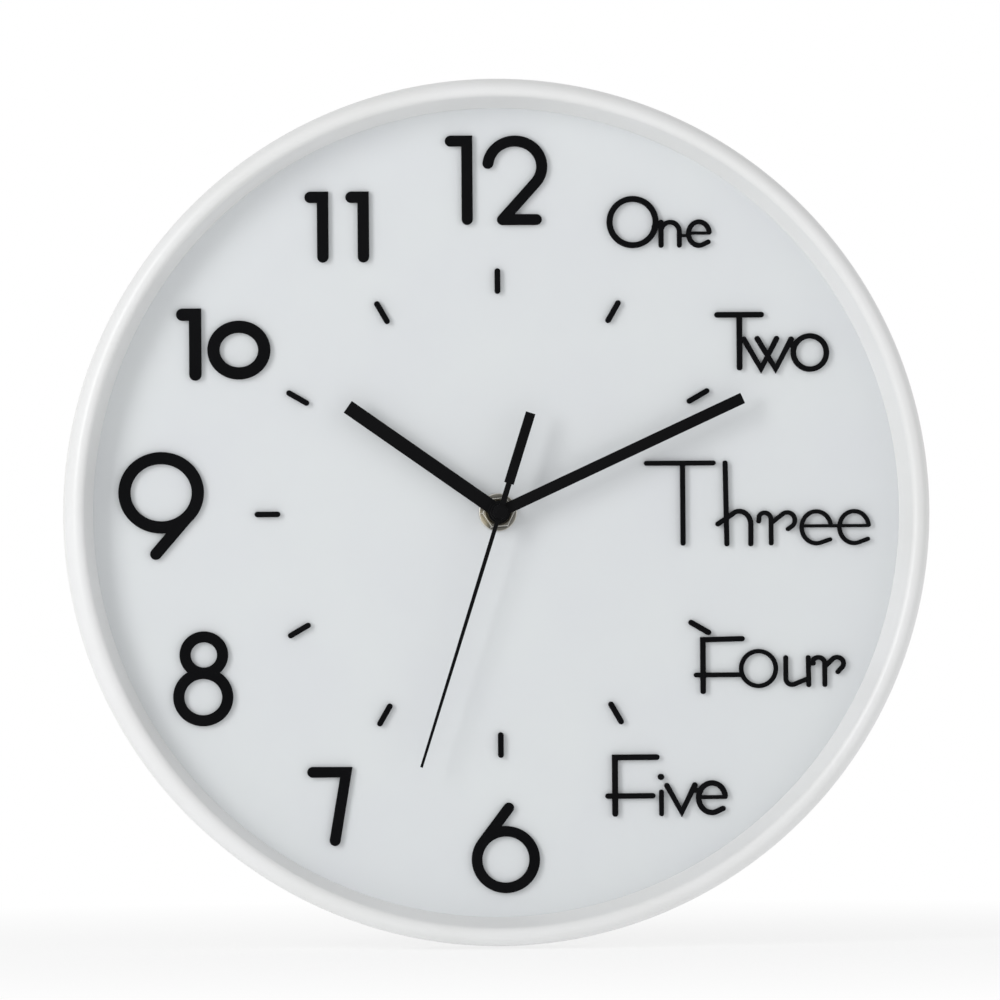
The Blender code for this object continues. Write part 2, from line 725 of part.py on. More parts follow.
def build_front_rim():
    shoulder = CREST_HEIGHT - RIM_SHOULDER_DROP
    crest_outer = RIM_CREST_RADIUS + RIM_CREST_FLAT
    channel_top = CREST_HEIGHT - RIM_WALL
    foot = DIAL_FRONT + SEAT_GAP
    arc_points = ellipse_points(
        (crest_outer, shoulder), (CASE_RADIUS - crest_outer, RIM_SHOULDER_DROP), 90, 0, RIM_ARC_STEPS
    )
    lip_centre = (RIM_CREST_RADIUS, CREST_HEIGHT - RIM_LIP_ROUND)
    lip = ellipse_points(
        lip_centre, (RIM_LIP_ROUND, RIM_LIP_ROUND), 90 + RIM_LIP_TURN, 90, RIM_LIP_STEPS
    )
    profile = [*lip, *arc_points, (CASE_RADIUS, SKIRT_END)]
    profile += [(CASE_RADIUS - RIM_WALL, SKIRT_END), (CASE_RADIUS - RIM_WALL, shoulder)]
    profile += [(crest_outer - RIM_CREST_FLAT / 2, channel_top), (RIM_EDGE_RADIUS + RIM_WALL, channel_top)]
    profile += [(RIM_FOOT_RADIUS + RIM_WALL, foot), (RIM_FOOT_RADIUS, foot)]
    rim = turned("front_rim", profile, RING_STEPS)
    hole_end = SCREW_TIP + SEAT_GAP
    boss_top = hole_end + RIM_WALL / 4
    hole_radius = SCREW_RADIUS + FIT_GAP
    for number, place in enumerate(screw_places()):
        join(rim, cylinder(f"rim_boss_{number}", BOSS_RADIUS, LEDGE_TOP + SEAT_GAP, boss_top, place))
        cut(rim, pin(f"rim_pilot_{number}", hole_radius, LEDGE_TOP - OVERRUN, hole_end, place))
    finish(rim, WHITE_PLASTIC)


def build_dial_plate():
    profile = [(DIAL_RADIUS, DIAL_FRONT), (DIAL_RADIUS, DIAL_BACK)]
    hole = BUSHING_RADIUS + FIT_GAP
    profile += [(hole, DIAL_BACK), (hole, DIAL_FRONT)]
    finish(turned("dial_plate", profile, RING_STEPS), DIAL_PAINT)


def build_rear_case():
    ring_outer = REAR_RADIUS - BACK_ROUNDING
    ring_inner = ring_outer - BACK_RING_WIDTH
    ledge_radius = DIAL_RADIUS - LEDGE_REACH
    rounding = ellipse_points(
        (ring_outer, WALL_HEIGHT + BACK_ROUNDING), (BACK_ROUNDING, BACK_ROUNDING), 0, -90, BACK_ARC_STEPS
    )
    profile = [(REAR_RADIUS, COLLAR_END), *rounding, (ring_inner, WALL_HEIGHT)]
    profile += [(ring_inner - BACK_RISE, BACK_OUTSIDE), (BACK_CORE_RADIUS, BACK_OUTSIDE)]
    profile += [(BACK_CORE_RADIUS, BACK_INSIDE), (REAR_INSIDE_RADIUS - REAR_WALL, BACK_INSIDE)]
    ledge_low = LEDGE_TOP - LEDGE_THICKNESS
    profile += [(REAR_INSIDE_RADIUS, BACK_INSIDE + REAR_WALL), (REAR_INSIDE_RADIUS, ledge_low)]
    profile += [(ledge_radius, ledge_low), (ledge_radius, LEDGE_TOP)]
    profile += [(REAR_INSIDE_RADIUS, LEDGE_TOP), (REAR_INSIDE_RADIUS, COLLAR_END)]
    case = turned("rear_case", profile, RING_STEPS)
    access = MOVEMENT_HALF + MOVEMENT_ACCESS_GAP
    low = BACK_OUTSIDE - OVERRUN
    high = BACK_INSIDE + OVERRUN
    cut(case, box("movement_access", (-access, -access, low), (access, access, high)))
    slot_top = KEYHOLE_RISE + KEYHOLE_SLOT_LENGTH
    slot = stroke_outline([(0, KEYHOLE_RISE), (0, slot_top)], KEYHOLE_SLOT_RADIUS * 2, LETTER_CAP_STEPS)
    cut(case, cylinder("keyhole_head", KEYHOLE_HEAD_RADIUS, low, high, (0, KEYHOLE_RISE)))
    cut(case, prism("keyhole_slot", [slot], low, high))
    for number, place in enumerate(screw_places()):
        post_radius = COUNTERBORE_RADIUS + POST_WALL
        post_low = WALL_HEIGHT + BACK_RISE / 2
        post_high = LEDGE_TOP - LEDGE_THICKNESS / 2
        bore_low = WALL_HEIGHT - OVERRUN
        join(case, cylinder(f"case_post_{number}", post_radius, post_low, post_high, place))
        cut(case, cylinder(f"counterbore_{number}", COUNTERBORE_RADIUS, bore_low, SCREW_SEAT, place))
        through = SCREW_RADIUS + SEAT_GAP
        cut(case, pin(f"screw_hole_{number}", through, SCREW_SEAT - OVERRUN, LEDGE_TOP + OVERRUN, place))
    finish(case, WHITE_PLASTIC)


def build_case_screws():
    for number, place in enumerate(screw_places(), start=1):
        head_low = SCREW_HEAD_TOP - SCREW_HEAD_HEIGHT
        screw = cylinder(f"case_screw_{number}", SCREW_HEAD_RADIUS, head_low, SCREW_HEAD_TOP, place)
        shank_low = SCREW_HEAD_TOP - SCREW_HEAD_HEIGHT / 4
        join(screw, pin(f"screw_shank_{number}", SCREW_RADIUS, shank_low, SCREW_TIP, place))
        reach = SCREW_HEAD_RADIUS + OVERRUN
        half = SCREW_SLOT_WIDTH / 2
        slot_low = head_low - OVERRUN
        slot_high = head_low + SCREW_SLOT_DEPTH
        for arm, (across, up) in enumerate(((reach, half), (half, reach))):
            corner = (place[0] - across, place[1] - up, slot_low)
            opposite = (place[0] + across, place[1] + up, slot_high)
            cut(screw, box(f"screw_slot_{number}_{arm}", corner, opposite))
        put_origin(screw, place)
        finish(screw, STEEL)


def build_movement_front_case():
    case = box(
        "movement_front_case",
        (-MOVEMENT_HALF, -MOVEMENT_HALF, ROOM_END),
        (MOVEMENT_HALF, MOVEMENT_HALF, MOVEMENT_FRONT),
    )
    back = ROOM_END - OVERRUN
    cut(case, box("gear_room", (-ROOM_HALF, ROOM_BOTTOM, back), (ROOM_HALF, ROOM_TOP, INSIDE_FRONT)))
    cut(case, box("cell_bay", (-ROOM_HALF, BAY_BOTTOM, back), (ROOM_HALF, BAY_TOP, INSIDE_FRONT)))
    for side, name in ((-1, "left"), (1, "right")):
        edges = sorted((side * (STRIP_PLACE - STRIP_THICKNESS / 2 - SEAT_GAP), side * ROOM_HALF))
        low = (edges[0], BAY_TOP - OVERRUN, back)
        high = (edges[1], ROOM_BOTTOM + OVERRUN, strip_front + SEAT_GAP)
        cut(case, box(f"strip_slot_{name}", low, high))
    pocket_floor = MOVEMENT_FRONT - BUSHING_FLANGE_THICKNESS - SEAT_GAP
    pocket_radius = BUSHING_FLANGE_RADIUS + SEAT_GAP
    cut(case, cylinder("flange_pocket", pocket_radius, pocket_floor, MOVEMENT_FRONT + OVERRUN))
    pipe_hole = HOUR_PIPE_RADIUS + FIT_GAP
    cut(case, cylinder("pipe_hole", pipe_hole, INSIDE_FRONT - OVERRUN, MOVEMENT_FRONT + OVERRUN))
    pivots = {"third": third_place, "fifth": fifth_place, "rotor": rotor_place, "knob": knob_place}
    for name, place in pivots.items():
        low = INSIDE_FRONT - OVERRUN
        high = INSIDE_FRONT + PIVOT_DEPTH
        cut(case, pin(f"front_pivot_{name}", pivot_hole_radius, low, high, place))
    root = INSIDE_FRONT + MOVEMENT_FRONT_WALL / 2
    join(case, pin("minute_post", MINUTE_POST_RADIUS, layer_back(2) - FIT_GAP, root, minute_place))
    peg_x = (stator_left + STATOR_BAR_WIDTH + coil_x - CORE_WIDTH / 2) / 2
    peg_inset = STATOR_ARM_WIDTH / 2
    for name, edge in (("top", stator_top - peg_inset), ("bottom", stator_bottom + peg_inset)):
        join(case, pin(f"stator_peg_{name}", PEG_RADIUS, stator_front + SEAT_GAP, root, (peg_x, edge)))
    peg_y = (board_top + board_bottom) / 2
    for name, share in (("left", 0.25), ("right", 0.75)):
        peg_place = (board_left + BOARD_LENGTH * share, peg_y)
        join(case, pin(f"board_peg_{name}", PEG_RADIUS, board_front + SEAT_GAP, root, peg_place))
    finish(case, MOVEMENT_PLASTIC)


def build_movement_rear_cover():
    cover = box(
        "movement_rear_cover",
        (-MOVEMENT_HALF, BAY_TOP, COVER_BACK),
        (MOVEMENT_HALF, MOVEMENT_HALF, COVER_FRONT),
    )
    pivots = {"second": centre_place, "third": third_place, "fifth": fifth_place, "rotor": rotor_place}
    for name, place in pivots.items():
        low = COVER_FRONT - PIVOT_DEPTH
        cut(cover, pin(f"rear_pivot_{name}", pivot_hole_radius, low, COVER_FRONT + OVERRUN, place))
    shaft_hole = KNOB_SHAFT_RADIUS + FIT_GAP
    cut(cover, pin("knob_hole", shaft_hole, COVER_BACK - OVERRUN, COVER_FRONT + OVERRUN, knob_place))
    finish(cover, MOVEMENT_PLASTIC)


def build_cell():
    half = CELL_LENGTH / 2
    shoulder = half - CELL_NUB_LENGTH
    profile = [(0, half), (CELL_NUB_RADIUS, half), (CELL_NUB_RADIUS, shoulder)]
    profile += [(CELL_RADIUS - CELL_ROUNDING, shoulder), (CELL_RADIUS, shoulder - CELL_ROUNDING)]
    profile += [(CELL_RADIUS, CELL_ROUNDING - half), (CELL_RADIUS - CELL_ROUNDING, -half), (0, -half)]
    cell = turned("battery", profile, CELL_STEPS, closed=False)
    cell.rotation_euler = (0, math.radians(-90), 0)
    cell.location = (0, CELL_PLACE, CELL_HEIGHT)
    finish(cell, CELL_SLEEVE)


def build_contacts():
    low_end = BAY_BOTTOM + SEAT_GAP
    positive = [(-STRIP_PLACE, low_end), (-STRIP_PLACE, board_top)]
    corner_y = ROOM_TOP - SEAT_GAP - STRIP_THICKNESS / 2
    negative = [(STRIP_PLACE, low_end), (STRIP_PLACE, corner_y), (board_right + SEAT_GAP, corner_y)]
    for name, path in (("positive_contact", positive), ("negative_contact", negative)):
        strip = prism(name, [stroke_outline(path, STRIP_THICKNESS, 0)], strip_back, strip_front)
        finish(strip, NICKEL)


def build_circuit_board():
    board_back = board_front - BOARD_THICKNESS
    board_low = (board_left, board_bottom, board_back)
    board = box("circuit_board", board_low, (board_right, board_top, board_front))
    middle_y = (board_top + board_bottom) / 2
    chip_x = board_left + CHIP_SIDE
    chip_low = (chip_x - CHIP_SIDE / 2, middle_y - CHIP_SIDE / 2, board_back - CHIP_RISE)
    chip_high = (chip_x + CHIP_SIDE / 2, middle_y + CHIP_SIDE / 2, board_front - BOARD_THICKNESS / 2)
    can = pin("crystal_can", CRYSTAL_RADIUS, -CRYSTAL_LENGTH / 2, CRYSTAL_LENGTH / 2)
    can.rotation_euler = (0, math.radians(90), 0)
    can.location = (board_right - CRYSTAL_LENGTH, middle_y, board_back - CRYSTAL_RADIUS / 2)
    join(board, box("chip", chip_low, chip_high), can)
    finish(board, BOARD_GREEN)


def build_stator():
    left = stator_left
    right = stator_left + STATOR_LENGTH
    bar_right = stator_left + STATOR_BAR_WIDTH
    lower = stator_bottom + STATOR_ARM_WIDTH
    upper = stator_top - STATOR_ARM_WIDTH
    outline = [(left, stator_bottom), (right, stator_bottom), (right, lower), (bar_right, lower)]
    outline += [(bar_right, upper), (right, upper), (right, stator_top), (left, stator_top)]
    plate = prism("stator", [outline], stator_back, stator_front)
    hole = MAGNET_RADIUS + STATOR_HOLE_GAP
    cut(plate, cylinder("rotor_hole", hole, stator_back - OVERRUN, stator_front + OVERRUN, rotor_place))
    finish(plate, STEEL)


def build_coil():
    low_y = stator_bottom + CORE_INSET
    high_y = stator_top - CORE_INSET
    half = CORE_WIDTH / 2
    core = box("coil", (coil_x - half, low_y, core_back), (coil_x + half, high_y, core_front))
    middle = (core_front + core_back) / 2
    reach = WINDING_LENGTH / 2 + FLANGE_THICKNESS / 2
    rounds = [("winding", WINDING_RADIUS, 0, reach)]
    rounds += [("flange_top", FLANGE_RADIUS, reach, FLANGE_THICKNESS / 2)]
    rounds += [("flange_bottom", FLANGE_RADIUS, -reach, FLANGE_THICKNESS / 2)]
    for name, radius, shift, half_length in rounds:
        drum = cylinder(name, radius, -half_length, half_length, steps=DRUM_STEPS)
        drum.rotation_euler = (math.radians(90), 0, 0)
        drum.location = (coil_x, rotor_place[1] + shift, middle)
        join(core, drum)
    finish(core, COPPER)


def build_rotor():
    magnet_front = layer_back(6) - MAGNET_GAP
    magnet = cylinder("rotor", MAGNET_RADIUS, magnet_front - MAGNET_LENGTH, magnet_front, rotor_place)
    leaves = pinion("rotor_pinion", rotor_place, ROTOR_TEETH, fifth_module, ROTOR_AZIMUTH + 180, 6)
    join(magnet, pin("rotor_arbor", ARBOR_RADIUS, pivot_back, pivot_front, rotor_place), leaves)
    put_origin(magnet, rotor_place)
    finish(magnet, MAGNET_GREY)


def build_fifth_wheel():
    body = wheel("fifth_wheel", fifth_place, FIFTH_TEETH, fifth_module, ROTOR_AZIMUTH, 6)
    leaves = pinion("fifth_pinion", fifth_place, TRAIN_PINION_TEETH, second_module, FIFTH_AZIMUTH + 180, 5)
    join(body, pin("fifth_arbor", ARBOR_RADIUS, pivot_back, pivot_front, fifth_place), leaves)
    put_origin(body, fifth_place)
    finish(body, GEAR_PLASTIC)


def build_second_wheel():
    body = wheel("second_wheel", centre_place, SECOND_TEETH, second_module, FIFTH_AZIMUTH, 5)
    leaves = pinion("second_pinion", centre_place, TRAIN_PINION_TEETH, third_module, THIRD_AZIMUTH, 4)
    join(body, pin("second_arbor", ARBOR_RADIUS, pivot_back, ARBOR_FRONT), leaves)
    finish(body, GEAR_PLASTIC)


def build_third_wheel():
    body = wheel("third_wheel", third_place, THIRD_TEETH, third_module, THIRD_AZIMUTH + 180, 4)
    leaves = pinion("third_pinion", third_place, TRAIN_PINION_TEETH, centre_module, THIRD_AZIMUTH + 180, 3)
    join(body, pin("third_arbor", ARBOR_RADIUS, pivot_back, pivot_front, third_place), leaves)
    put_origin(body, third_place)
    finish(body, GEAR_PLASTIC)


def build_centre_wheel():
    body = wheel("centre_wheel", centre_place, CENTRE_TEETH, centre_module, THIRD_AZIMUTH, 3)
    bore = MINUTE_PIPE_RADIUS + FIT_GAP
    cut(body, cylinder("centre_bore", bore, layer_back(3) - OVERRUN, layer_front(3) + OVERRUN))
    finish(body, BRASS)


def build_cannon_pinion():
    body = pinion("cannon_pinion", centre_place, CANNON_TEETH, minute_module, MOTION_AZIMUTH, 2)
    pipe_front = MINUTE_HUB_BACK + HUB_HEIGHT + PIPE_SHOW
    pipe_back = layer_front(2) + SEAT_GAP
    hub_front = layer_back(2) - SEAT_GAP
    hub_back = layer_back(3) - CANNON_HUB_LENGTH
    join(body, pin("cannon_neck", CANNON_NECK_RADIUS, hub_front - SEAT_GAP, pipe_back + SEAT_GAP))
    join(body, cylinder("cannon_pipe", MINUTE_PIPE_RADIUS, pipe_back, pipe_front))
    join(body, cylinder("cannon_hub", MINUTE_PIPE_RADIUS, hub_back, hub_front))
    cut(body, pin("cannon_bore", pivot_hole_radius, hub_back - OVERRUN, pipe_front + OVERRUN))
    finish(body, BRASS)


def build_minute_wheel():
    body = wheel("minute_wheel", minute_place, MINUTE_TEETH, minute_module, MOTION_AZIMUTH, 2)
    leaves = pinion("minute_pinion", minute_place, TRAIN_PINION_TEETH, hour_module, MOTION_AZIMUTH + 180, 1)
    sleeve = pin("minute_sleeve", MINUTE_SLEEVE_RADIUS, layer_back(2), layer_front(1), minute_place)
    join(body, sleeve, leaves)
    bore = MINUTE_POST_RADIUS + FIT_GAP
    cut(body, pin("minute_bore", bore, layer_back(2) - OVERRUN, layer_front(1) + OVERRUN, minute_place))
    put_origin(body, minute_place)
    finish(body, GEAR_PLASTIC)


def build_hour_wheel():
    body = wheel("hour_wheel", centre_place, HOUR_TEETH, hour_module, MOTION_AZIMUTH, 1)
    pipe_front = HOUR_HUB_BACK + HUB_HEIGHT + PIPE_SHOW
    join(body, cylinder("hour_pipe", HOUR_PIPE_RADIUS, layer_back(1), pipe_front))
    bore = MINUTE_PIPE_RADIUS + FIT_GAP
    cut(body, cylinder("hour_bore", bore, layer_back(1) - OVERRUN, pipe_front + OVERRUN))
    finish(body, GEAR_PLASTIC)


def build_setting_knob():
    knob_front = COVER_BACK - SEAT_GAP
    knob_back = knob_front - KNOB_THICKNESS
    rib_depth = KNOB_RADIUS * 2 / KNOB_RIBS
    outline = []
    for rib in range(KNOB_RIBS):
        for turn_share, depth_share in KNOB_RIB_SHARES:
            turn = (rib + turn_share) / KNOB_RIBS * 360
            outline.append(polar(KNOB_RADIUS + rib_depth * depth_share, turn, knob_place))
    body = prism("setting_knob", [outline], knob_back, knob_front)
    leaves = pinion("knob_pinion", knob_place, CANNON_TEETH, minute_module, MOTION_AZIMUTH + 180, 2)
    shaft_back = knob_front - KNOB_THICKNESS / 2
    shaft_front = layer_front(2) - GEAR_THICKNESS / 2
    join(body, pin("knob_shaft", KNOB_SHAFT_RADIUS, shaft_back, shaft_front, knob_place))
    join(body, leaves, pin("knob_pivot", ARBOR_RADIUS, shaft_back, pivot_front, knob_place))
    put_origin(body, knob_place)
    finish(body, KNOB_PLASTIC)


def build_threaded_bushing():
    flange_back = MOVEMENT_FRONT - BUSHING_FLANGE_THICKNESS
    bore = HOUR_PIPE_RADIUS + FIT_GAP
    profile = [(BUSHING_RADIUS, BUSHING_FRONT), (BUSHING_RADIUS, MOVEMENT_FRONT)]
    profile += [(BUSHING_FLANGE_RADIUS, MOVEMENT_FRONT), (BUSHING_FLANGE_RADIUS, flange_back)]
    profile += [(bore, flange_back), (bore, BUSHING_FRONT)]
    finish(turned("threaded_bushing", profile, HUB_STEPS), BRASS)


def build_fixing_nut():
    flange_back = DIAL_FRONT + SEAT_GAP
    hexagon_back = flange_back + NUT_FLANGE_THICKNESS
    nut = cylinder("fixing_nut", NUT_FLANGE_RADIUS, flange_back, hexagon_back, steps=CELL_STEPS)
    low = hexagon_back - NUT_FLANGE_THICKNESS / 2
    hexagon = cone("nut_hexagon", NUT_BASE_RADIUS, NUT_TOP_RADIUS, low, NUT_FRONT, steps=NUT_SIDES)
    # A cone's first corner lies along its own +y, and +x is half a side's turn from a corner.
    hexagon.rotation_euler.z = math.radians(NUT_TURN - 180 / NUT_SIDES)
    join(nut, hexagon)
    bore = BUSHING_RADIUS + FIT_GAP
    cut(nut, cylinder("nut_bore", bore, flange_back - OVERRUN, NUT_FRONT + OVERRUN))
    finish(nut, NICKEL)


def build_pipe_hand(name, length, width, hub_radius, hub_back, pipe_radius, angle):
    """A hand pressed on a pipe, with a square end and no tail."""
    blade_back = hub_back + BLADE_RISE
    outline = stroke_outline([(0, 0), (0, length)], width, 0)
    hand = prism(name, [outline], blade_back, blade_back + BLADE_THICKNESS)
    join(hand, cylinder(f"{name}_hub", hub_radius, hub_back, hub_back + HUB_HEIGHT, steps=CELL_STEPS))
    bore = pipe_radius + FIT_GAP
    cut(hand, cylinder(f"{name}_bore", bore, hub_back - OVERRUN, hub_back + HUB_HEIGHT + OVERRUN))
    hand.rotation_euler.z = -math.radians(angle)
    finish(hand, BLACK_PAINT)


def build_second_hand():
    half_widths = [(SECOND_HAND_LENGTH, SECOND_TIP_WIDTH), (0, SECOND_ROOT_WIDTH), (0, SECOND_NECK_WIDTH)]
    half_widths += [(-SECOND_NECK_LENGTH, SECOND_NECK_WIDTH), (-SECOND_NECK_LENGTH, SECOND_TAIL_WIDTH)]
    half_widths += [(-SECOND_TAIL_LENGTH, SECOND_TAIL_WIDTH)]
    right = [(width / 2, along) for along, width in half_widths]
    left = [(-across, along) for across, along in reversed(right)]
    blade_back = SECOND_HUB_BACK + BLADE_RISE
    hand = prism("second_hand", [right + left], blade_back, blade_back + SECOND_BLADE_THICKNESS)
    hub_front = SECOND_HUB_BACK + SECOND_HUB_HEIGHT
    join(hand, cylinder("second_hand_hub", SECOND_HUB_RADIUS, SECOND_HUB_BACK, hub_front, steps=CELL_STEPS))
    bore_end = ARBOR_FRONT + FIT_GAP
    cut(hand, pin("second_hand_bore", pivot_hole_radius, SECOND_HUB_BACK - OVERRUN, bore_end))
    hand.rotation_euler.z = -math.radians(SECOND_HAND_ANGLE)
    finish(hand, BLACK_PAINT)


def build_hands():
    build_pipe_hand(
        "hour_hand",
        HOUR_HAND_LENGTH,
        HOUR_HAND_WIDTH,
        HOUR_HUB_RADIUS,
        HOUR_HUB_BACK,
        HOUR_PIPE_RADIUS,
        HOUR_HAND_ANGLE,
    )
    build_pipe_hand(
        "minute_hand",
        MINUTE_HAND_LENGTH,
        MINUTE_HAND_WIDTH,
        MINUTE_HUB_RADIUS,
        MINUTE_HUB_BACK,
        MINUTE_PIPE_RADIUS,
        MINUTE_HAND_ANGLE,
    )
    build_second_hand()


def build_lettering():
    low = DIAL_FRONT + LETTER_GAP
    for name, (hour, strokes) in LETTER_STROKE_SHARES.items():
        place = [share * LETTERED_RADIUS for share in LETTER_PLACE_SHARES[hour]]
        height = LETTER_HEIGHT_SHARES[hour] * LETTERED_RADIUS
        body = None
        for number, stroke in enumerate(strokes):
            path = [(x * height, y * height) for x, y in stroke["points"]]
            width = STROKE_WIDTH_SHARES[hour] * height * stroke["width_share"]
            if stroke["closed"]:
                outlines = ring_outlines(path, width)
            else:
                outlines = [stroke_outline(path, width, LETTER_CAP_STEPS)]
            piece_name = f"{name}_stroke_{number}" if body else name
            piece = prism(piece_name, outlines, low, low + LETTER_RISE)
            piece.location = (place[0], place[1], 0)
            body = join(body, piece) if body else piece
        finish(body, BLACK_PLASTIC)


def build_index_bars():
    low = DIAL_FRONT + LETTER_GAP
    half = (BAR_LENGTH - BAR_WIDTH) / 2
    for hour in range(1, HOURS + 1):
        if hour == BARE_HOUR:
            continue
        path = [(0, BAR_CIRCLE - half), (0, BAR_CIRCLE + half)]
        outline = stroke_outline(path, BAR_WIDTH, LETTER_CAP_STEPS)
        bar = prism(f"hour_bar_{hour:02d}", [outline], low, low + LETTER_RISE)
        bar.rotation_euler.z = -math.radians(hour / HOURS * 360)
        finish(bar, BLACK_PLASTIC)


build_front_rim()
build_dial_plate()
build_rear_case()
build_case_screws()
build_movement_front_case()
build_movement_rear_cover()
build_cell()
build_contacts()
build_circuit_board()
build_stator()
build_coil()
build_rotor()
build_fifth_wheel()
build_second_wheel()
build_third_wheel()
build_centre_wheel()
build_cannon_pinion()
build_minute_wheel()
build_hour_wheel()
build_setting_knob()
build_threaded_bushing()
build_fixing_nut()
build_hands()
build_lettering()
build_index_bars()
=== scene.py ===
# Wall clock, 305 mm across. The dial faces -Y and +Z is up.
# Pieces are drawn in the dial's own plane in mm, x right, y up and z forward, and stood up when done.
import math

import bmesh
import bpy
from mathutils import Matrix, Vector


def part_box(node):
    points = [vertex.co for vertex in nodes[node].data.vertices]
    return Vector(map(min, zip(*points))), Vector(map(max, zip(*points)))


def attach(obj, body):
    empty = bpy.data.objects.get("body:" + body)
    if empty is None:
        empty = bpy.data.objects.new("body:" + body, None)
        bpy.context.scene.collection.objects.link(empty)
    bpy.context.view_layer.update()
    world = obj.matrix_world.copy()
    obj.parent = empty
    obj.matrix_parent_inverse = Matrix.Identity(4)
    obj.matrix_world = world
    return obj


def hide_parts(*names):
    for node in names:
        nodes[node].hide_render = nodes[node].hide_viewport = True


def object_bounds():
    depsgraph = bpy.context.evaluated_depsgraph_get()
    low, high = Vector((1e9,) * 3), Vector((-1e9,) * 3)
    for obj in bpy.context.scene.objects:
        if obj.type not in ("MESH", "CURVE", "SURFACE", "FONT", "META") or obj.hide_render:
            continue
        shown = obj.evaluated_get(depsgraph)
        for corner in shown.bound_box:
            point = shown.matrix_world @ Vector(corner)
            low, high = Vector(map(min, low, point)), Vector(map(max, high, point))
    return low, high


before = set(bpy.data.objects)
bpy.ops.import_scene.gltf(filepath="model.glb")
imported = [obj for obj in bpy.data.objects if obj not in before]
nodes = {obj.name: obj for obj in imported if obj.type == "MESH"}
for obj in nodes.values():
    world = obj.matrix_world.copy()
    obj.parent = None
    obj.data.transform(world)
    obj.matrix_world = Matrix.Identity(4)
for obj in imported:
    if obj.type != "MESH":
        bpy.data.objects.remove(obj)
cadLow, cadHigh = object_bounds()
mm = 0.001
weld = 0.0005  # points nearer than this, in mm, become one
standUp = Matrix.Rotation(math.radians(90), 4, "X") @ Matrix.Scale(mm, 4)
print("frame loaded,", len(nodes), "nodes")


def spanOf(node):
    # heights of a node's hindmost and foremost points over the middle of the case, in mm
    low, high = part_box(node)
    return -high.y / mm, -low.y / mm


def middleOf(node):
    # the middle of a node in the dial's plane, in mm
    low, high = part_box(node)
    return ((low.x + high.x) / 2 / mm, (low.z + high.z) / 2 / mm)


dialBack, dialFront = spanOf("dial_plate")

# Node tools, for materials and for Geometry Nodes


def newGroup(kind, name, inputs, outputs):
    # sockets have a label and a starting value; a word instead of a number names the socket's type
    group = bpy.data.node_groups.new(name, kind)
    for side, sockets in (("INPUT", inputs), ("OUTPUT", outputs)):
        for label, value in sockets.items():
            content = {float: "Float", int: "Int"}.get(type(value), value)
            socket = group.interface.new_socket(label, in_out=side, socket_type=f"NodeSocket{content}")
            if content != value:
                socket.default_value = value
    return group, group.nodes.new("NodeGroupInput").outputs, group.nodes.new("NodeGroupOutput")


def plug(tree, node, inputs):
    # links a node's inputs to other nodes' outputs, or sets them to plain values
    for label, value in inputs.items():
        if isinstance(value, bpy.types.NodeSocket):
            tree.links.new(value, node.inputs[label])
        else:
            node.inputs[label].default_value = value
    return node


def addNode(tree, kind, inputs, output=0, **settings):
    # adds a node and gives one of its outputs, the first if no other is asked for
    node = tree.nodes.new(kind)
    for label, value in settings.items():
        setattr(node, label, value)
    return plug(tree, node, inputs).outputs[output]


def mathNode(tree, operation, first, second, clamp=False):
    return addNode(tree, "ShaderNodeMath", {0: first, 1: second}, operation=operation, use_clamp=clamp)


def mapTo(tree, value, low, high, fromLow=0.3, fromHigh=0.7, blend="LINEAR"):
    inputs = {"Value": value, "From Min": fromLow, "From Max": fromHigh, "To Min": low, "To Max": high}
    return addNode(tree, "ShaderNodeMapRange", inputs, interpolation_type=blend)


def objectSpace(tree):
    return addNode(tree, "ShaderNodeTexCoord", {}, "Object")


def axesOf(tree, where):
    return plug(tree, tree.nodes.new("ShaderNodeSeparateXYZ"), {"Vector": where}).outputs


def noiseNode(tree, where, scale, detail=3.0, roughness=0.55, factor=None):
    if factor:
        scale = mathNode(tree, "MULTIPLY", scale, factor)
    inputs = {"Vector": where, "Scale": scale, "Detail": detail, "Roughness": roughness}
    return addNode(tree, "ShaderNodeTexNoise", inputs)


# Shared shader groups. Each gives masks and heights, the materials keep their own shaders.


def buildMouldGrain():
    # the skin of a moulded or painted surface: a fine grain over slow waves, and a slow change of tone
    inputs = {"Scale": 900.0, "Wave": 0.35}
    group, given, out = newGroup("ShaderNodeTree", "mouldGrain", inputs, {"Height": 0.0, "Tone": 0.0})
    where = objectSpace(group)
    fine = noiseNode(group, where, given["Scale"], 4.0, 0.6)
    slow = noiseNode(group, where, given["Scale"], 2.0, 0.5, 0.06)
    tone = noiseNode(group, where, given["Scale"], 3.0, 0.5, 0.015)
    height = mathNode(group, "ADD", fine, mathNode(group, "MULTIPLY", slow, given["Wave"]))
    plug(group, out, {"Height": height, "Tone": mathNode(group, "SMOOTH_MAX", tone, 0.0)})
    return group


def buildHandling():
    # faint smudges and hairline rubs, as a mask that a material turns into roughness
    group, given, out = newGroup("ShaderNodeTree", "handling", {"Scale": 30.0, "Amount": 0.5}, {"Mask": 0.0})
    where = objectSpace(group)
    smudge = noiseNode(group, where, given["Scale"], 5.0, 0.6)
    smudge = mapTo(group, smudge, 0.0, 1.0, 0.42, 0.72, "SMOOTHSTEP")
    inputs = {"Vector": where, "Rotation": (0.0, 0.6, 0.0), "Scale": (1.0, 1.0, 22.0)}
    stretched = addNode(group, "ShaderNodeMapping", inputs)
    hairs = noiseNode(group, stretched, given["Scale"], 2.0, 0.5, 3.0)
    both = mathNode(group, "MAXIMUM", smudge, mapTo(group, hairs, 0.0, 1.0, 0.64, 0.72))
    plug(group, out, {"Mask": mathNode(group, "MULTIPLY", both, given["Amount"])})
    return group


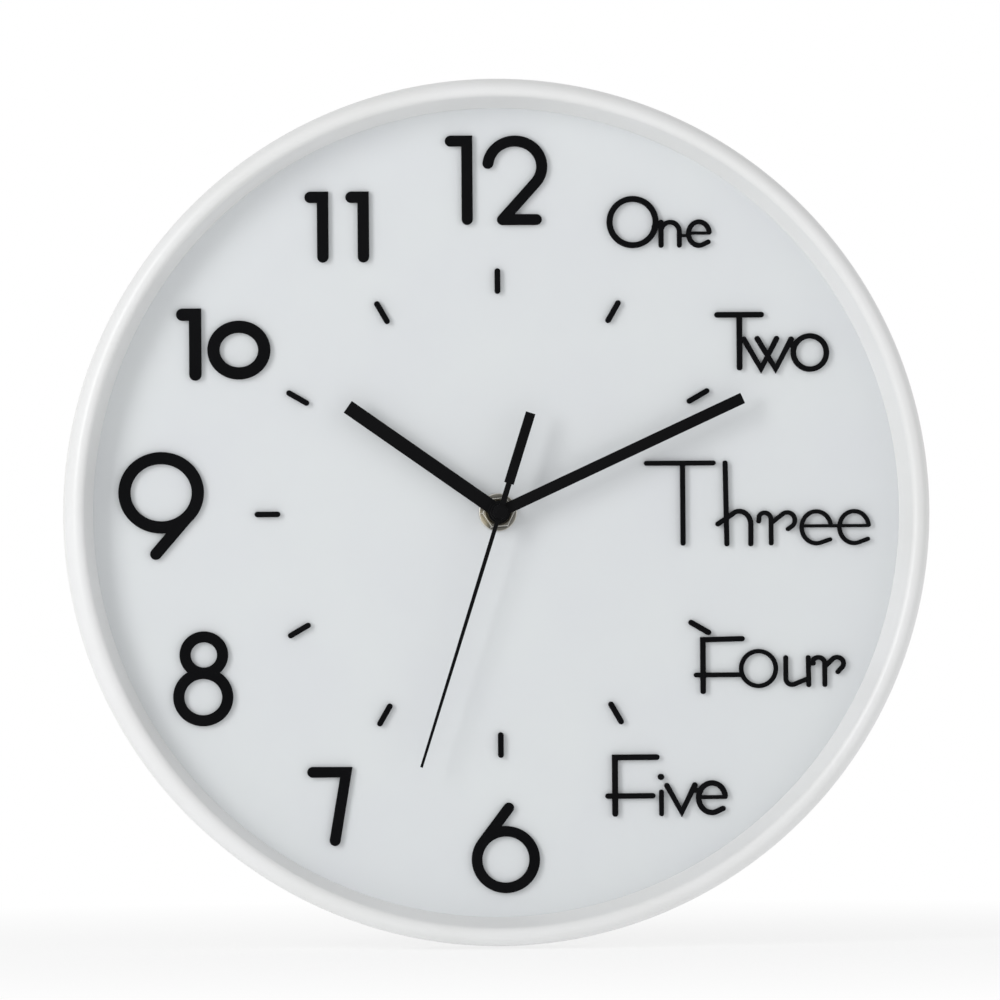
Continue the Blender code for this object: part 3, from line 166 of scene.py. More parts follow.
def buildToolMarks():
    # fine lines left by turning, drawing or stamping, in circles round the object's Y axis or straight
    inputs = {"Scale": 900.0, "Round": 1.0}
    group, given, out = newGroup("ShaderNodeTree", "toolMarks", inputs, {"Height": 0.0, "Mask": 0.0})
    where = objectSpace(group)
    axes = axesOf(group, where)
    squares = [mathNode(group, "POWER", axes[label], 2.0) for label in "XZ"]
    distance = mathNode(group, "SQRT", mathNode(group, "ADD", *squares), 0.0)
    straight = mathNode(group, "ADD", axes["X"], axes["Y"])
    pick = addNode(group, "ShaderNodeMix", {"Factor": given["Round"], 2: straight, 3: distance})
    inputs = {"Detail": 3.0, "Scale": given["Scale"], "W": pick}
    lines = addNode(group, "ShaderNodeTexNoise", inputs, noise_dimensions="1D")
    worn = noiseNode(group, where, given["Scale"], 4.0, 0.6, 0.12)
    plug(group, out, {"Height": lines, "Mask": mathNode(group, "MULTIPLY", worn, lines)})
    return group


def buildEdgeWearAndHighlight():
    # sharp outer edges are rubbed and take a painted highlight; the pieces carry them as an attribute, and a
    # noise breaks it up
    group, given, out = newGroup("ShaderNodeTree", "edgeWearAndHighlight", {"Amount": 0.6, "Scale": 600.0}, {"Mask": 0.0})
    turned = addNode(group, "ShaderNodeAttribute", {}, "Fac", attribute_name="sharpEdge")
    patchy = mapTo(group, noiseNode(group, objectSpace(group), given["Scale"], 3.0, 0.6), 0.55, 1.0)
    worn = mathNode(group, "MULTIPLY", turned, patchy)
    plug(group, out, {"Mask": mathNode(group, "MULTIPLY", worn, given["Amount"], clamp=True)})
    return group


mouldGrain = buildMouldGrain()
handling = buildHandling()
toolMarks = buildToolMarks()
edgeWearAndHighlight = buildEdgeWearAndHighlight()


def placeGroup(tree, group, inputs):
    node = tree.nodes.new("ShaderNodeGroup")
    node.node_tree = group
    return plug(tree, node, inputs).outputs


def mixColours(tree, factor, first, second):
    first, second = ((*tone, 1.0) if isinstance(tone, tuple) else tone for tone in (first, second))
    return addNode(tree, "ShaderNodeMix", {"Factor": factor, 6: first, 7: second}, 2, data_type="RGBA")


def addPaintedReflection(tree, colour, paintedReflection):
    # a painted reflection: a soft patch of another tone, its middle and reach in mm
    where = objectSpace(tree)
    reach = paintedReflection["reach"] * mm
    inputs = {0: where, 1: Vector(paintedReflection["middle"]) * mm}
    apart = addNode(tree, "ShaderNodeVectorMath", inputs, "Value", operation="DISTANCE")
    ripple = mathNode(tree, "MULTIPLY", noiseNode(tree, where, paintedReflection["ripples"]), reach * 0.6)
    share = mapTo(tree, mathNode(tree, "ADD", apart, ripple), 1.0, 0.0, reach * 0.7, reach * 1.3)
    return mixColours(tree, share, colour, paintedReflection["colour"])


def addBand(tree, colour, low, high, tone):
    # a printed band between two places along the object's X axis, in mm
    along = axesOf(tree, objectSpace(tree))["X"]
    above = mathNode(tree, "GREATER_THAN", along, low * mm)
    below = mathNode(tree, "LESS_THAN", along, high * mm)
    return mixColours(tree, mathNode(tree, "MULTIPLY", above, below), colour, tone)


# what a finish has when its own line doesn't say otherwise; marks are the scale of tool marks
usualLook = {
    "wave": 0.35, "smudgeScale": 30.0, "smudgeRough": 0.12, "metallic": 0.0, "specular": 0.5, "bump": 0.25,
    "bumpDepth": 0.00003, "marks": 0.0, "marksHeight": 2.0, "marksTone": 0.6, "marksRough": 0.15,
    "round": 1.0, "edgeWearAndHighlightAmount": 0.7, "bands": (),
}


def makeFinish(name, colour, shade, roughness, grainScale, smudge, extras):
    # one Principled material with grain, a slow tone, smudges and, on metal, tool marks
    look = {**usualLook, **extras}
    material = bpy.data.materials.new(name)
    material.use_nodes = True
    tree = material.node_tree
    grain = placeGroup(tree, mouldGrain, {"Scale": grainScale, "Wave": look["wave"]})
    rubbed = placeGroup(tree, handling, {"Scale": look["smudgeScale"], "Amount": smudge})
    colour = mixColours(tree, mapTo(tree, grain["Tone"], 0.0, 1.0), colour, shade)
    height = grain["Height"]
    rough = mathNode(tree, "MULTIPLY", rubbed["Mask"], look["smudgeRough"])
    rough = mathNode(tree, "ADD", rough, roughness, clamp=True)
    if look["marks"]:
        lines = placeGroup(tree, toolMarks, {"Scale": look["marks"], "Round": look["round"]})
        lift = mathNode(tree, "MULTIPLY", lines["Height"], look["marksHeight"])
        height = mathNode(tree, "ADD", height, lift)
        colour = mixColours(tree, mapTo(tree, lines["Mask"], 0.0, look["marksTone"]), colour, shade)
        rubbing = mathNode(tree, "MULTIPLY", lines["Mask"], look["marksRough"])
        rough = mathNode(tree, "ADD", rough, rubbing, clamp=True)
    for low, high, tone in look["bands"]:
        colour = addBand(tree, colour, low, high, tone)
    # a painted reflection, a lighter patch on one side of the piece
    if "paintedReflection" in look:
        colour = addPaintedReflection(tree, colour, look["paintedReflection"])
    # sharp edges are mixed towards a lighter colour: wear, and a painted highlight along the arrises
    if "edge" in look:
        worn = placeGroup(tree, edgeWearAndHighlight, {"Amount": look["edgeWearAndHighlightAmount"], "Scale": grainScale / 2})
        colour = mixColours(tree, worn["Mask"], colour, look["edge"])
    inputs = {"Strength": look["bump"], "Distance": look["bumpDepth"], "Height": height}
    bumped = addNode(tree, "ShaderNodeBump", inputs)
    inputs = {"Base Color": colour, "Roughness": rough, "Metallic": look["metallic"], "Normal": bumped}
    plug(tree, tree.nodes["Principled BSDF"], {**inputs, "Specular IOR Level": look["specular"]})
    return material


# from and to along the cell in mm, and the tone
cellBands = [
    (-30.0, -12.5, (0.62, 0.60, 0.55)), (-12.5, -11.7, (0.8, 0.8, 0.78)), (21.5, 22.2, (0.7, 0.7, 0.68)),
]
# colour, its darker shade, roughness, scale of the grain, smudges, and what else differs from the usual
metal = {"metallic": 1.0}
stamped = {"metallic": 1.0, "round": 0.0}
finishes = {
    "rimPlastic": (
        (0.745, 0.75, 0.755), (0.715, 0.72, 0.715), 0.34, 1400.0, 0.6, {"bump": 0.3, "bumpDepth": 0.00002},
    ),
    "shellPlastic": ((0.79, 0.80, 0.795), (0.75, 0.755, 0.74), 0.42, 1100.0, 0.8, {"bump": 0.4}),
    "dialSheet": ((0.665, 0.69, 0.70), (0.65, 0.67, 0.69), 0.62, 1700.0, 0.4, {"specular": 0.35}),
    "letteringPlastic": (
        (0.0028, 0.0029, 0.0034), (0.0045, 0.0046, 0.0052), 0.55, 2200.0, 0.5,
        {"bump": 0.35, "specular": 0.03},
    ),
    "handPaint": (
        (0.003, 0.003, 0.0034), (0.0045, 0.0045, 0.005), 0.45, 2600.0, 0.5,
        {"bump": 0.3, "bumpDepth": 0.00002, "specular": 0.04},
    ),
    # the nut's pale edge colour is wear and a painted highlight along its arrises
    "nutNickel": (
        (0.25, 0.24, 0.205), (0.14, 0.135, 0.12), 0.36, 1800.0, 0.6,
        {
            **metal, "bump": 0.3, "marks": 2600.0, "edge": (0.86, 0.84, 0.79), "edgeWearAndHighlightAmount": 0.95,
            # a tan patch at the lower left, a painted reflection
            "paintedReflection": {
                "middle": (-5.4, -9.5, -2.6), "reach": 4.2, "ripples": 500.0, "colour": (0.44, 0.40, 0.305),
            },
        },
    ),
    # the bushing's lighter edge colour is wear and a painted highlight along its arrises
    "bushingBrass": (
        (0.21, 0.19, 0.14), (0.13, 0.115, 0.08), 0.32, 1800.0, 0.6,
        {**metal, "marks": 3000.0, "edge": (0.42, 0.36, 0.24), "edgeWearAndHighlightAmount": 0.5},
    ),
    "screwSteel": ((0.56, 0.56, 0.57), (0.42, 0.43, 0.45), 0.3, 1500.0, 0.8, {**stamped, "marks": 2600.0}),
    "movementPlastic": (
        (0.019, 0.019, 0.021), (0.03, 0.03, 0.031), 0.5, 1300.0, 0.8, {"bump": 0.6, "bumpDepth": 0.00005},
    ),
    "gearPlastic": ((0.74, 0.73, 0.67), (0.66, 0.64, 0.56), 0.4, 1900.0, 0.4, {}),
    "gearBrass": ((0.66, 0.50, 0.23), (0.50, 0.36, 0.15), 0.26, 1900.0, 0.5, {**metal, "marks": 3200.0}),
    "knobPlastic": ((0.52, 0.075, 0.045), (0.43, 0.055, 0.035), 0.42, 1500.0, 0.7, {"bump": 0.4}),
    "contactNickel": ((0.6, 0.58, 0.53), (0.47, 0.45, 0.41), 0.26, 1500.0, 0.7, {**stamped, "marks": 2200.0}),
    "statorSteel": ((0.50, 0.50, 0.51), (0.36, 0.35, 0.35), 0.34, 1400.0, 0.7, {**stamped, "marks": 2400.0}),
    "rotorMagnet": (
        (0.11, 0.11, 0.12), (0.07, 0.07, 0.075), 0.42, 2400.0, 0.4,
        {"metallic": 0.6, "bump": 0.6, "bumpDepth": 0.00004},
    ),
    "coilCopper": (
        (0.60, 0.26, 0.11), (0.45, 0.17, 0.06), 0.3, 1600.0, 0.4,
        {**stamped, "bump": 0.5, "bumpDepth": 0.00008, "marks": 6000.0},
    ),
    "boardLaminate": ((0.018, 0.12, 0.05), (0.012, 0.085, 0.035), 0.36, 1200.0, 0.6, {"bump": 0.35}),
    "cellSleeve": (
        (0.045, 0.085, 0.15), (0.035, 0.07, 0.125), 0.28, 900.0, 0.8,
        {"metallic": 0.15, "bump": 0.2, "bands": cellBands},
    ),
}
materials = {name: makeFinish(name, *look) for name, look in finishes.items()}
print("finishes made:", len(materials))

# Mesh tools


def newObject(name, mesh):
    piece = bpy.data.objects.new(name, mesh)
    bpy.context.scene.collection.objects.link(piece)
    return piece


def fromBmesh(name, shape):
    bmesh.ops.remove_doubles(shape, verts=shape.verts, dist=weld)
    bmesh.ops.recalc_face_normals(shape, faces=shape.faces)
    mesh = bpy.data.meshes.new(name)
    shape.to_mesh(mesh)
    shape.free()
    return newObject(name, mesh)


def settle(piece):
    # replaces an object's mesh by its evaluated one, and drops the modifiers
    graph = bpy.context.evaluated_depsgraph_get()
    mesh = bpy.data.meshes.new_from_object(piece.evaluated_get(graph))
    piece.modifiers.clear()
    old = piece.data
    piece.data = mesh
    if old.users == 0:
        bpy.data.meshes.remove(old)
    return piece


def combine(piece, operation, tools):
    for tool in tools:
        cutter = piece.modifiers.new("combine", "BOOLEAN")
        cutter.operation = operation
        cutter.solver = "EXACT"
        cutter.object = tool
    settle(piece)
    for tool in tools:
        bpy.data.objects.remove(tool, do_unlink=True)
    return piece


def unite(piece, *tools):
    return combine(piece, "UNION", tools) if tools else piece


def subtract(piece, *tools):
    return combine(piece, "DIFFERENCE", tools)


# an edge is taken as worn and given a painted highlight by how much the surface turns over each millimetre,
# in radians
sharpEdge = {"from": 2.0, "to": 6.0, "leastTurn": 0.14, "leastWidth": 0.02}


def markSharpEdges(mesh):
    # stores on every face how sharply the surface turns outwards there
    shape = bmesh.new()
    shape.from_mesh(mesh)
    shape.normal_update()
    values = []
    for face in shape.faces:
        outline = sum(edge.calc_length() for edge in face.edges)
        width = 2 * face.calc_area() / max(outline, weld * mm) / mm
        middle = face.calc_center_median()
        turn = 0.0
        for edge in face.edges:
            for other in edge.link_faces:
                if other is not face and (other.calc_center_median() - middle).dot(face.normal) < 0:
                    turn = max(turn, face.normal.angle(other.normal, 0.0))
        sharpness = turn / max(width, sharpEdge["leastWidth"]) if turn > sharpEdge["leastTurn"] else 0.0
        values.append(min(1.0, max(0.0, (sharpness - sharpEdge["from"]) / (sharpEdge["to"] - sharpEdge["from"]))))
    shape.free()
    mesh.attributes.new("sharpEdge", "FLOAT", "FACE").data.foreach_set("value", values)


def dressPiece(piece, finish, body, replaced, sharp=38):
    # gives a piece its look and hands it to its body
    markSharpEdges(piece.data)
    piece.data.materials.clear()
    piece.data.materials.append(materials[finish])
    piece.data.polygons.foreach_set("material_index", [0] * len(piece.data.polygons))
    piece.data.shade_smooth()
    piece.data.set_sharp_from_angle(angle=math.radians(sharp))
    weighted = piece.modifiers.new("evenShading", "WEIGHTED_NORMAL")
    weighted.keep_sharp = True
    weighted.weight = 80
    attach(piece, body)
    if replaced:
        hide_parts(*replaced)


def finishPiece(piece, finish, body, slotName, *replaced, sharp=38):
    # stands a drawn piece up and dresses it
    piece.data.transform(standUp)
    dressPiece(piece, finish, body, replaced, sharp)


def roundCorners(points, closed=True, steps=4):
    # points are (x, y, fillet); a corner with a fillet becomes a short curve
    out = []
    count = len(points)
    for index, (x, y, *rest) in enumerate(points):
        if not any(rest) or (not closed and index in (0, count - 1)):
            out.append((x, y))
            continue
        here = Vector((x, y))
        before = Vector(points[index - 1][:2]) - here
        after = Vector(points[(index + 1) % count][:2]) - here
        start = here + before.normalized() * min(rest[0], before.length * 0.48)
        end = here + after.normalized() * min(rest[0], after.length * 0.48)
        for step in range(steps + 1):
            share = step / steps
            spot = start * (1 - share) ** 2 + here * 2 * share * (1 - share) + end * share**2
            out.append((spot.x, spot.y))
    return out


def rectangle(left, bottom, right, top, fillet=0):
    return [(left, bottom, fillet), (right, bottom, fillet), (right, top, fillet), (left, top, fillet)]


def ellipsePoints(x, y, across, up, start, end, steps):
    turns = [math.radians(start + (end - start) * step / steps) for step in range(steps + 1)]
    return [(x + across * math.cos(turn), y + up * math.sin(turn)) for turn in turns]


def lathe(name, profile, steps, closed=True, place=(0, 0), offset=0.0):
    # turns (radius, height) points round the z axis; an open profile starts and ends on the axis
    shape = bmesh.new()
    turns = [math.tau * (step + offset) / steps for step in range(steps)]
    rings = []
    for radius, height in profile:
        if radius < weld:
            rings.append([shape.verts.new((*place, height))] * steps)
        else:
            spots = [(radius * math.cos(turn), radius * math.sin(turn)) for turn in turns]
            rings.append([shape.verts.new((place[0] + x, place[1] + y, height)) for x, y in spots])
    pairs = list(zip(rings, rings[1:]))
    if closed:
        pairs.append((rings[-1], rings[0]))
    for first, second in pairs:
        for step in range(steps):
            following = (step + 1) % steps
            corners = dict.fromkeys((first[step], first[following], second[following], second[step]))
            if len(corners) > 2:
                shape.faces.new(list(corners))
    return fromBmesh(name, shape)


def turned(name, points, steps, fillets=4, **settings):
    # a lathed solid from (radius, height, fillet) corners, from the axis to the axis
    return lathe(name, roundCorners(points, closed=False, steps=fillets), steps, closed=False, **settings)


def rod(name, radius, low, high, place=(0, 0), steps=32, edge=0.0):
    # a turned pin with softened ends, also the tool for a round hole
    profile = [(0, high), (radius, high, edge), (radius, low, edge), (0, low)]
    return turned(name, profile, steps, 3, place=place, offset=0.5)


def loft(name, levels):
    # levels are (outlines, height) from bottom to top, each with the same loops and numbers of points
    shape = bmesh.new()

    def bridge(first, second):
        for index in range(len(first)):
            after = (index + 1) % len(first)
            shape.faces.new((first[index], first[after], second[after], second[index]))

    made = []
    for outlines, height in levels:
        made.append([[shape.verts.new((x, y, height)) for x, y in loop] for loop in outlines])
    for lower, upper in zip(made, made[1:]):
        for low, high in zip(lower, upper):
            bridge(low, high)
    for level in (made[0], made[-1]):
        if len(level) == 1:
            shape.faces.new(level[0])
        else:
            bridge(*level)
    return fromBmesh(name, shape)


def edgeCurve(edge, steps):
    # how far a rounded edge is moved in and down at each step
    turns = [math.pi / 2 * step / steps for step in range(steps + 1)]
    return [(edge * (1 - math.cos(turn)), edge * (1 - math.sin(turn))) for turn in turns]


def slab(name, outline, low, high, edge=0.0, steps=3):
    # a flat outline given as (x, y, fillet) corners, with softened upper and lower edges
    flat = roundCorners(outline, steps=6)
    loop = [Vector(point) for point in flat]
    area = sum(a.cross(b) for a, b in zip(loop, loop[1:] + loop[:1]))
    side = 1 if area > 0 else -1

    def inset(amount):
        moved = []
        for index, point in enumerate(loop):
            before = (point - loop[index - 1]).normalized()
            after = (loop[(index + 1) % len(loop)] - point).normalized()
            normal = Vector((-before.y, before.x)) + Vector((-after.y, after.x))
            normal = normal / max(normal.length_squared / 2, 0.4)
            moved.append(tuple(point + normal * amount * side))
        return [moved]

    if not edge:
        return loft(name, [([flat], low), ([flat], high)])
    curve = edgeCurve(edge, steps)
    bottom = [(inset(across), low + down) for across, down in reversed(curve)]
    return loft(name, bottom + [(inset(across), high - down) for across, down in curve])


def softenedCopy(node, name, width, finish, body):
    # a merged copy of a node's own mesh with softened edges
    mesh = nodes[node].data.copy()
    mesh.name = name
    shape = bmesh.new()
    shape.from_mesh(mesh)
    bmesh.ops.remove_doubles(shape, verts=shape.verts, dist=weld * mm)
    bmesh.ops.dissolve_limit(shape, angle_limit=math.radians(1), verts=shape.verts, edges=shape.edges)
    shape.to_mesh(mesh)
    shape.free()
    piece = newObject(name, mesh)
    bevel = piece.modifiers.new("softEdges", "BEVEL")
    bevel.width = width * mm
    bevel.segments = 2
    bevel.limit_method = "ANGLE"
    bevel.angle_limit = math.radians(35)
    bevel.use_clamp_overlap = True
    dressPiece(settle(piece), finish, body, [node])


# Geometry Nodes


def closeTree(tree, given, out, geometry):
    real = addNode(tree, "GeometryNodeRealizeInstances", {"Geometry": geometry})
    painted = addNode(tree, "GeometryNodeSetMaterial", {"Geometry": real, "Material": given["Finish"]})
    plug(tree, out, {"Geometry": painted})
    tree.is_modifier = True
    return tree


def buildSweepTree():
    # sweeps the object's own profile round a circle
    inputs = {"Geometry": "Geometry", "Sweep Radius": 1.0, "Steps": 128, "Finish": "Material"}
    tree, given, out = newGroup("GeometryNodeTree", "sweepRound", inputs, {"Geometry": "Geometry"})
    profile = addNode(tree, "GeometryNodeMeshToCurve", {"Mesh": given["Geometry"]})
    inputs = {"Resolution": given["Steps"], "Radius": given["Sweep Radius"]}
    circle = addNode(tree, "GeometryNodeCurvePrimitiveCircle", inputs)
    sweep = addNode(tree, "GeometryNodeCurveToMesh", {"Curve": circle, "Profile Curve": profile})
    return closeTree(tree, given, out, sweep)


def buildRoundTree():
    # repeats the object round the z axis, clockwise seen from the front; one place may stay bare
    inputs = {"Geometry": "Geometry", "Count": 12, "First Angle": 0.0, "Bare Place": -1, "Finish": "Material"}
    tree, given, out = newGroup("GeometryNodeTree", "repeatRound", inputs, {"Geometry": "Geometry"})
    index = addNode(tree, "GeometryNodeInputIndex", {})
    share = mathNode(tree, "DIVIDE", index, given["Count"])
    turn = mathNode(tree, "MULTIPLY", share, -math.tau)
    turn = mathNode(tree, "ADD", turn, given["First Angle"])
    spin = addNode(tree, "ShaderNodeCombineXYZ", {"Z": turn})
    inputs = {2: index, 3: given["Bare Place"]}
    filled = addNode(tree, "FunctionNodeCompare", inputs, data_type="INT", operation="NOT_EQUAL")
    spots = addNode(tree, "GeometryNodePoints", {"Count": given["Count"]})
    inputs = {"Points": spots, "Selection": filled, "Instance": given["Geometry"], "Rotation": spin}
    return closeTree(tree, given, out, addNode(tree, "GeometryNodeInstanceOnPoints", inputs))


sweepRound = buildSweepTree()
repeatRound = buildRoundTree()


def runTree(piece, tree, values):
    # sets the modifier's inputs by their identifiers, then turns the result into a plain mesh
    added = piece.modifiers.new(tree.name, "NODES")
    added.node_group = tree
    for item in tree.interface.items_tree:
        if item.item_type == "SOCKET" and item.in_out == "INPUT" and item.name in values:
            added[item.identifier] = values[item.name]
    return settle(piece)


def repeated(piece, count, finish, firstAngle=0, barePlace=-1):
    values = {"Count": count, "First Angle": math.radians(firstAngle), "Bare Place": barePlace}
    return runTree(piece, repeatRound, {**values, "Finish": materials[finish]})


def mendMesh(piece, reach=weld):
    # joins points, drops slivers and loose points, closes what they leave, and turns the faces outwards
    shape = bmesh.new()
    shape.from_mesh(piece.data)
    bmesh.ops.remove_doubles(shape, verts=shape.verts, dist=reach)
    bmesh.ops.dissolve_degenerate(shape, dist=reach, edges=shape.edges)
    loose = [vertex for vertex in shape.verts if not vertex.link_faces]
    bmesh.ops.delete(shape, geom=loose, context="VERTS")
    borders = [edge for edge in shape.edges if edge.is_boundary]
    if borders:
        bmesh.ops.holes_fill(shape, edges=borders, sides=0)
    bmesh.ops.recalc_face_normals(shape, faces=shape.faces)
    shape.to_mesh(piece.data)
    shape.free()
    return piece


# Front rim: a rolled lip, a straight skirt outside and a sloping wall down to the dial
frontRim = {
    "outer": 152.5, "crest": 148.2, "crestHeight": 19.0, "shoulder": 12.2, "skirtEnd": 8.2, "lipRound": 2.7,
    "lipTurn": 72, "foot": 142.43, "footGap": 0.05, "wall": 2.3, "arris": 0.3, "footArris": 0.25,
    "steps": 288, "bossCircle": 146.8, "bossRadius": 2.3, "bossLow": 4.5, "bossHigh": 12.7, "bore": 1.4,
}


def makeFrontRim():
    rim = frontRim
    outer, crest, foot, wall = rim["outer"], rim["crest"], rim["foot"], rim["wall"]
    lip, shoulder, skirtEnd = rim["lipRound"], rim["shoulder"], rim["skirtEnd"]
    edge = crest - lip * math.sin(math.radians(rim["lipTurn"]))
    channel = rim["crestHeight"] - wall
    footHeight = dialFront + rim["footGap"]
    # up round the lip, down the outside, back up inside the wall and down to the foot
    points = ellipsePoints(crest, rim["crestHeight"] - lip, lip, lip, 90 + rim["lipTurn"], 90, 10)
    points += ellipsePoints(crest, shoulder, outer - crest, rim["crestHeight"] - shoulder, 90, 0, 18)[1:]
    points += [(outer, skirtEnd + rim["arris"]), (outer - rim["arris"], skirtEnd), (outer - wall, skirtEnd)]
    points += [(outer - wall, shoulder), (crest + 0.4, channel), (edge + wall, channel)]
    points += [(foot + wall, footHeight + rim["footArris"]), (foot + wall - rim["footArris"], footHeight)]
    points += [(foot, footHeight)]
    # the sweep takes its profile from the circle outwards, with y turned over
    count = len(points)
    mesh = bpy.data.meshes.new("front_rim_visual")
    edges = [(index, (index + 1) % count) for index in range(count)]
    mesh.from_pydata([(x - crest, -y, 0) for x, y in points], edges, [])
    values = {"Sweep Radius": crest, "Steps": rim["steps"], "Finish": materials["rimPlastic"]}
    piece = mendMesh(runTree(newObject(mesh.name, mesh), sweepRound, values))
    place = (0, rim["bossCircle"])
    boss = rod("boss", rim["bossRadius"], rim["bossLow"], rim["bossHigh"], place, 28, 0.2)
    bore = rod("bore", rim["bore"], rim["bossLow"] - 1, rim["bossHigh"] - 0.6, place, 20)
    unite(piece, repeated(boss, 3, "rimPlastic"))
    subtract(piece, repeated(bore, 3, "rimPlastic"))
    finishPiece(piece, "rimPlastic", "case", "rim_plastic", "front_rim")


makeFrontRim()
print("front rim done")

# Dial: a printed disc with a hole for the bushing
dial = {"hole": 4.15, "outerArris": 0.25, "holeArris": 0.1, "steps": 240}


def makeDial():
    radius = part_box("dial_plate")[1].x / mm
    hole, outerArris, holeArris = dial["hole"], dial["outerArris"], dial["holeArris"]
    outline = [(radius, dialFront, outerArris), (radius, dialBack, outerArris)]
    outline += [(hole, dialBack, holeArris), (hole, dialFront, holeArris)]
    piece = lathe("dial_visual", roundCorners(outline, steps=2), dial["steps"])
    finishPiece(piece, "dialSheet", "case", "dial_paint", "dial_plate")


makeDial()
print("dial done")

# Lettering: raised strokes with softened upper edges, sizes in mm
lettering = {
    "circle": 141.83, "rise": 1.7, "gap": 0.02, "edge": 0.28, "edgeShare": 0.22, "edgeSteps": 3,
    "capSteps": 10, "arcStep": 6, "cornerLimit": 1.45, "offset": (0.42, -0.16),
}


def arc(x, y, across, up, start, end):
    steps = max(2, round(abs(end - start) / lettering["arcStep"]))
    return ellipsePoints(x, y, across, up, start, end, steps)


def line(points, widthShare=1.0):
    return {"points": points, "widthShare": widthShare, "closed": False}


def ring(x, y, across, up, widthShare=1.0):
    return {"points": arc(x, y, across, up, 0, 360)[:-1], "widthShare": widthShare, "closed": True}


def strokeOutline(points, width, capSteps=lettering["capSteps"]):
    # the loop round an open stroke, with mitred corners and round ends
    path = [Vector(point) for point in points]
    normals = []
    for start, end in zip(path, path[1:]):
        along = (end - start).normalized()
        normals.append(Vector((-along.y, along.x)))
    left = []
    right = []
    for index, point in enumerate(path):
        before = normals[max(index - 1, 0)]
        after = normals[min(index, len(normals) - 1)]
        reach = (before + after) / (1 + before.dot(after))
        outer = reach * min(1, lettering["cornerLimit"] / reach.length)
        turnsLeft = before.cross(after) > 0
        left.append(point + (reach if turnsLeft else outer) * width / 2)
        right.append(point - (outer if turnsLeft else reach) * width / 2)

    def cap(centre, offset):
        turns = [-math.pi * step / capSteps for step in range(1, capSteps)]
        return [centre + Matrix.Rotation(turn, 2) @ offset for turn in turns]

    endCap = cap(path[-1], normals[-1] * width / 2)
    startCap = cap(path[0], -normals[0] * width / 2)
    return [tuple(spot) for spot in left + endCap + right[::-1] + startCap]


def ringOutlines(points, width):
    path = [Vector(point) for point in points]
    outer = []
    inner = []
    for index, point in enumerate(path):
        along = (path[(index + 1) % len(path)] - path[index - 1]).normalized()
        outward = Vector((along.y, -along.x))
        outer.append(tuple(point + outward * width / 2))
        inner.append(tuple(point - outward * width / 2))
    return [outer, inner]


def strokeSolid(name, stroke, place, height, width):
    path = [(place[0] + x * height, place[1] + y * height) for x, y in stroke["points"]]
    width = width * stroke["widthShare"]
    edge = min(lettering["edge"], width * lettering["edgeShare"])
    high = dialFront + lettering["rise"]
    levels = [(0.0, dialFront + lettering["gap"])]
    levels += [(inset, high - down) for inset, down in edgeCurve(edge, lettering["edgeSteps"])]
    drawn = []
    for inset, level in levels:
        narrowed = width - inset * 2
        outlines = ringOutlines(path, narrowed) if stroke["closed"] else [strokeOutline(path, narrowed)]
        drawn.append((outlines, level))
    return loft(name, drawn)


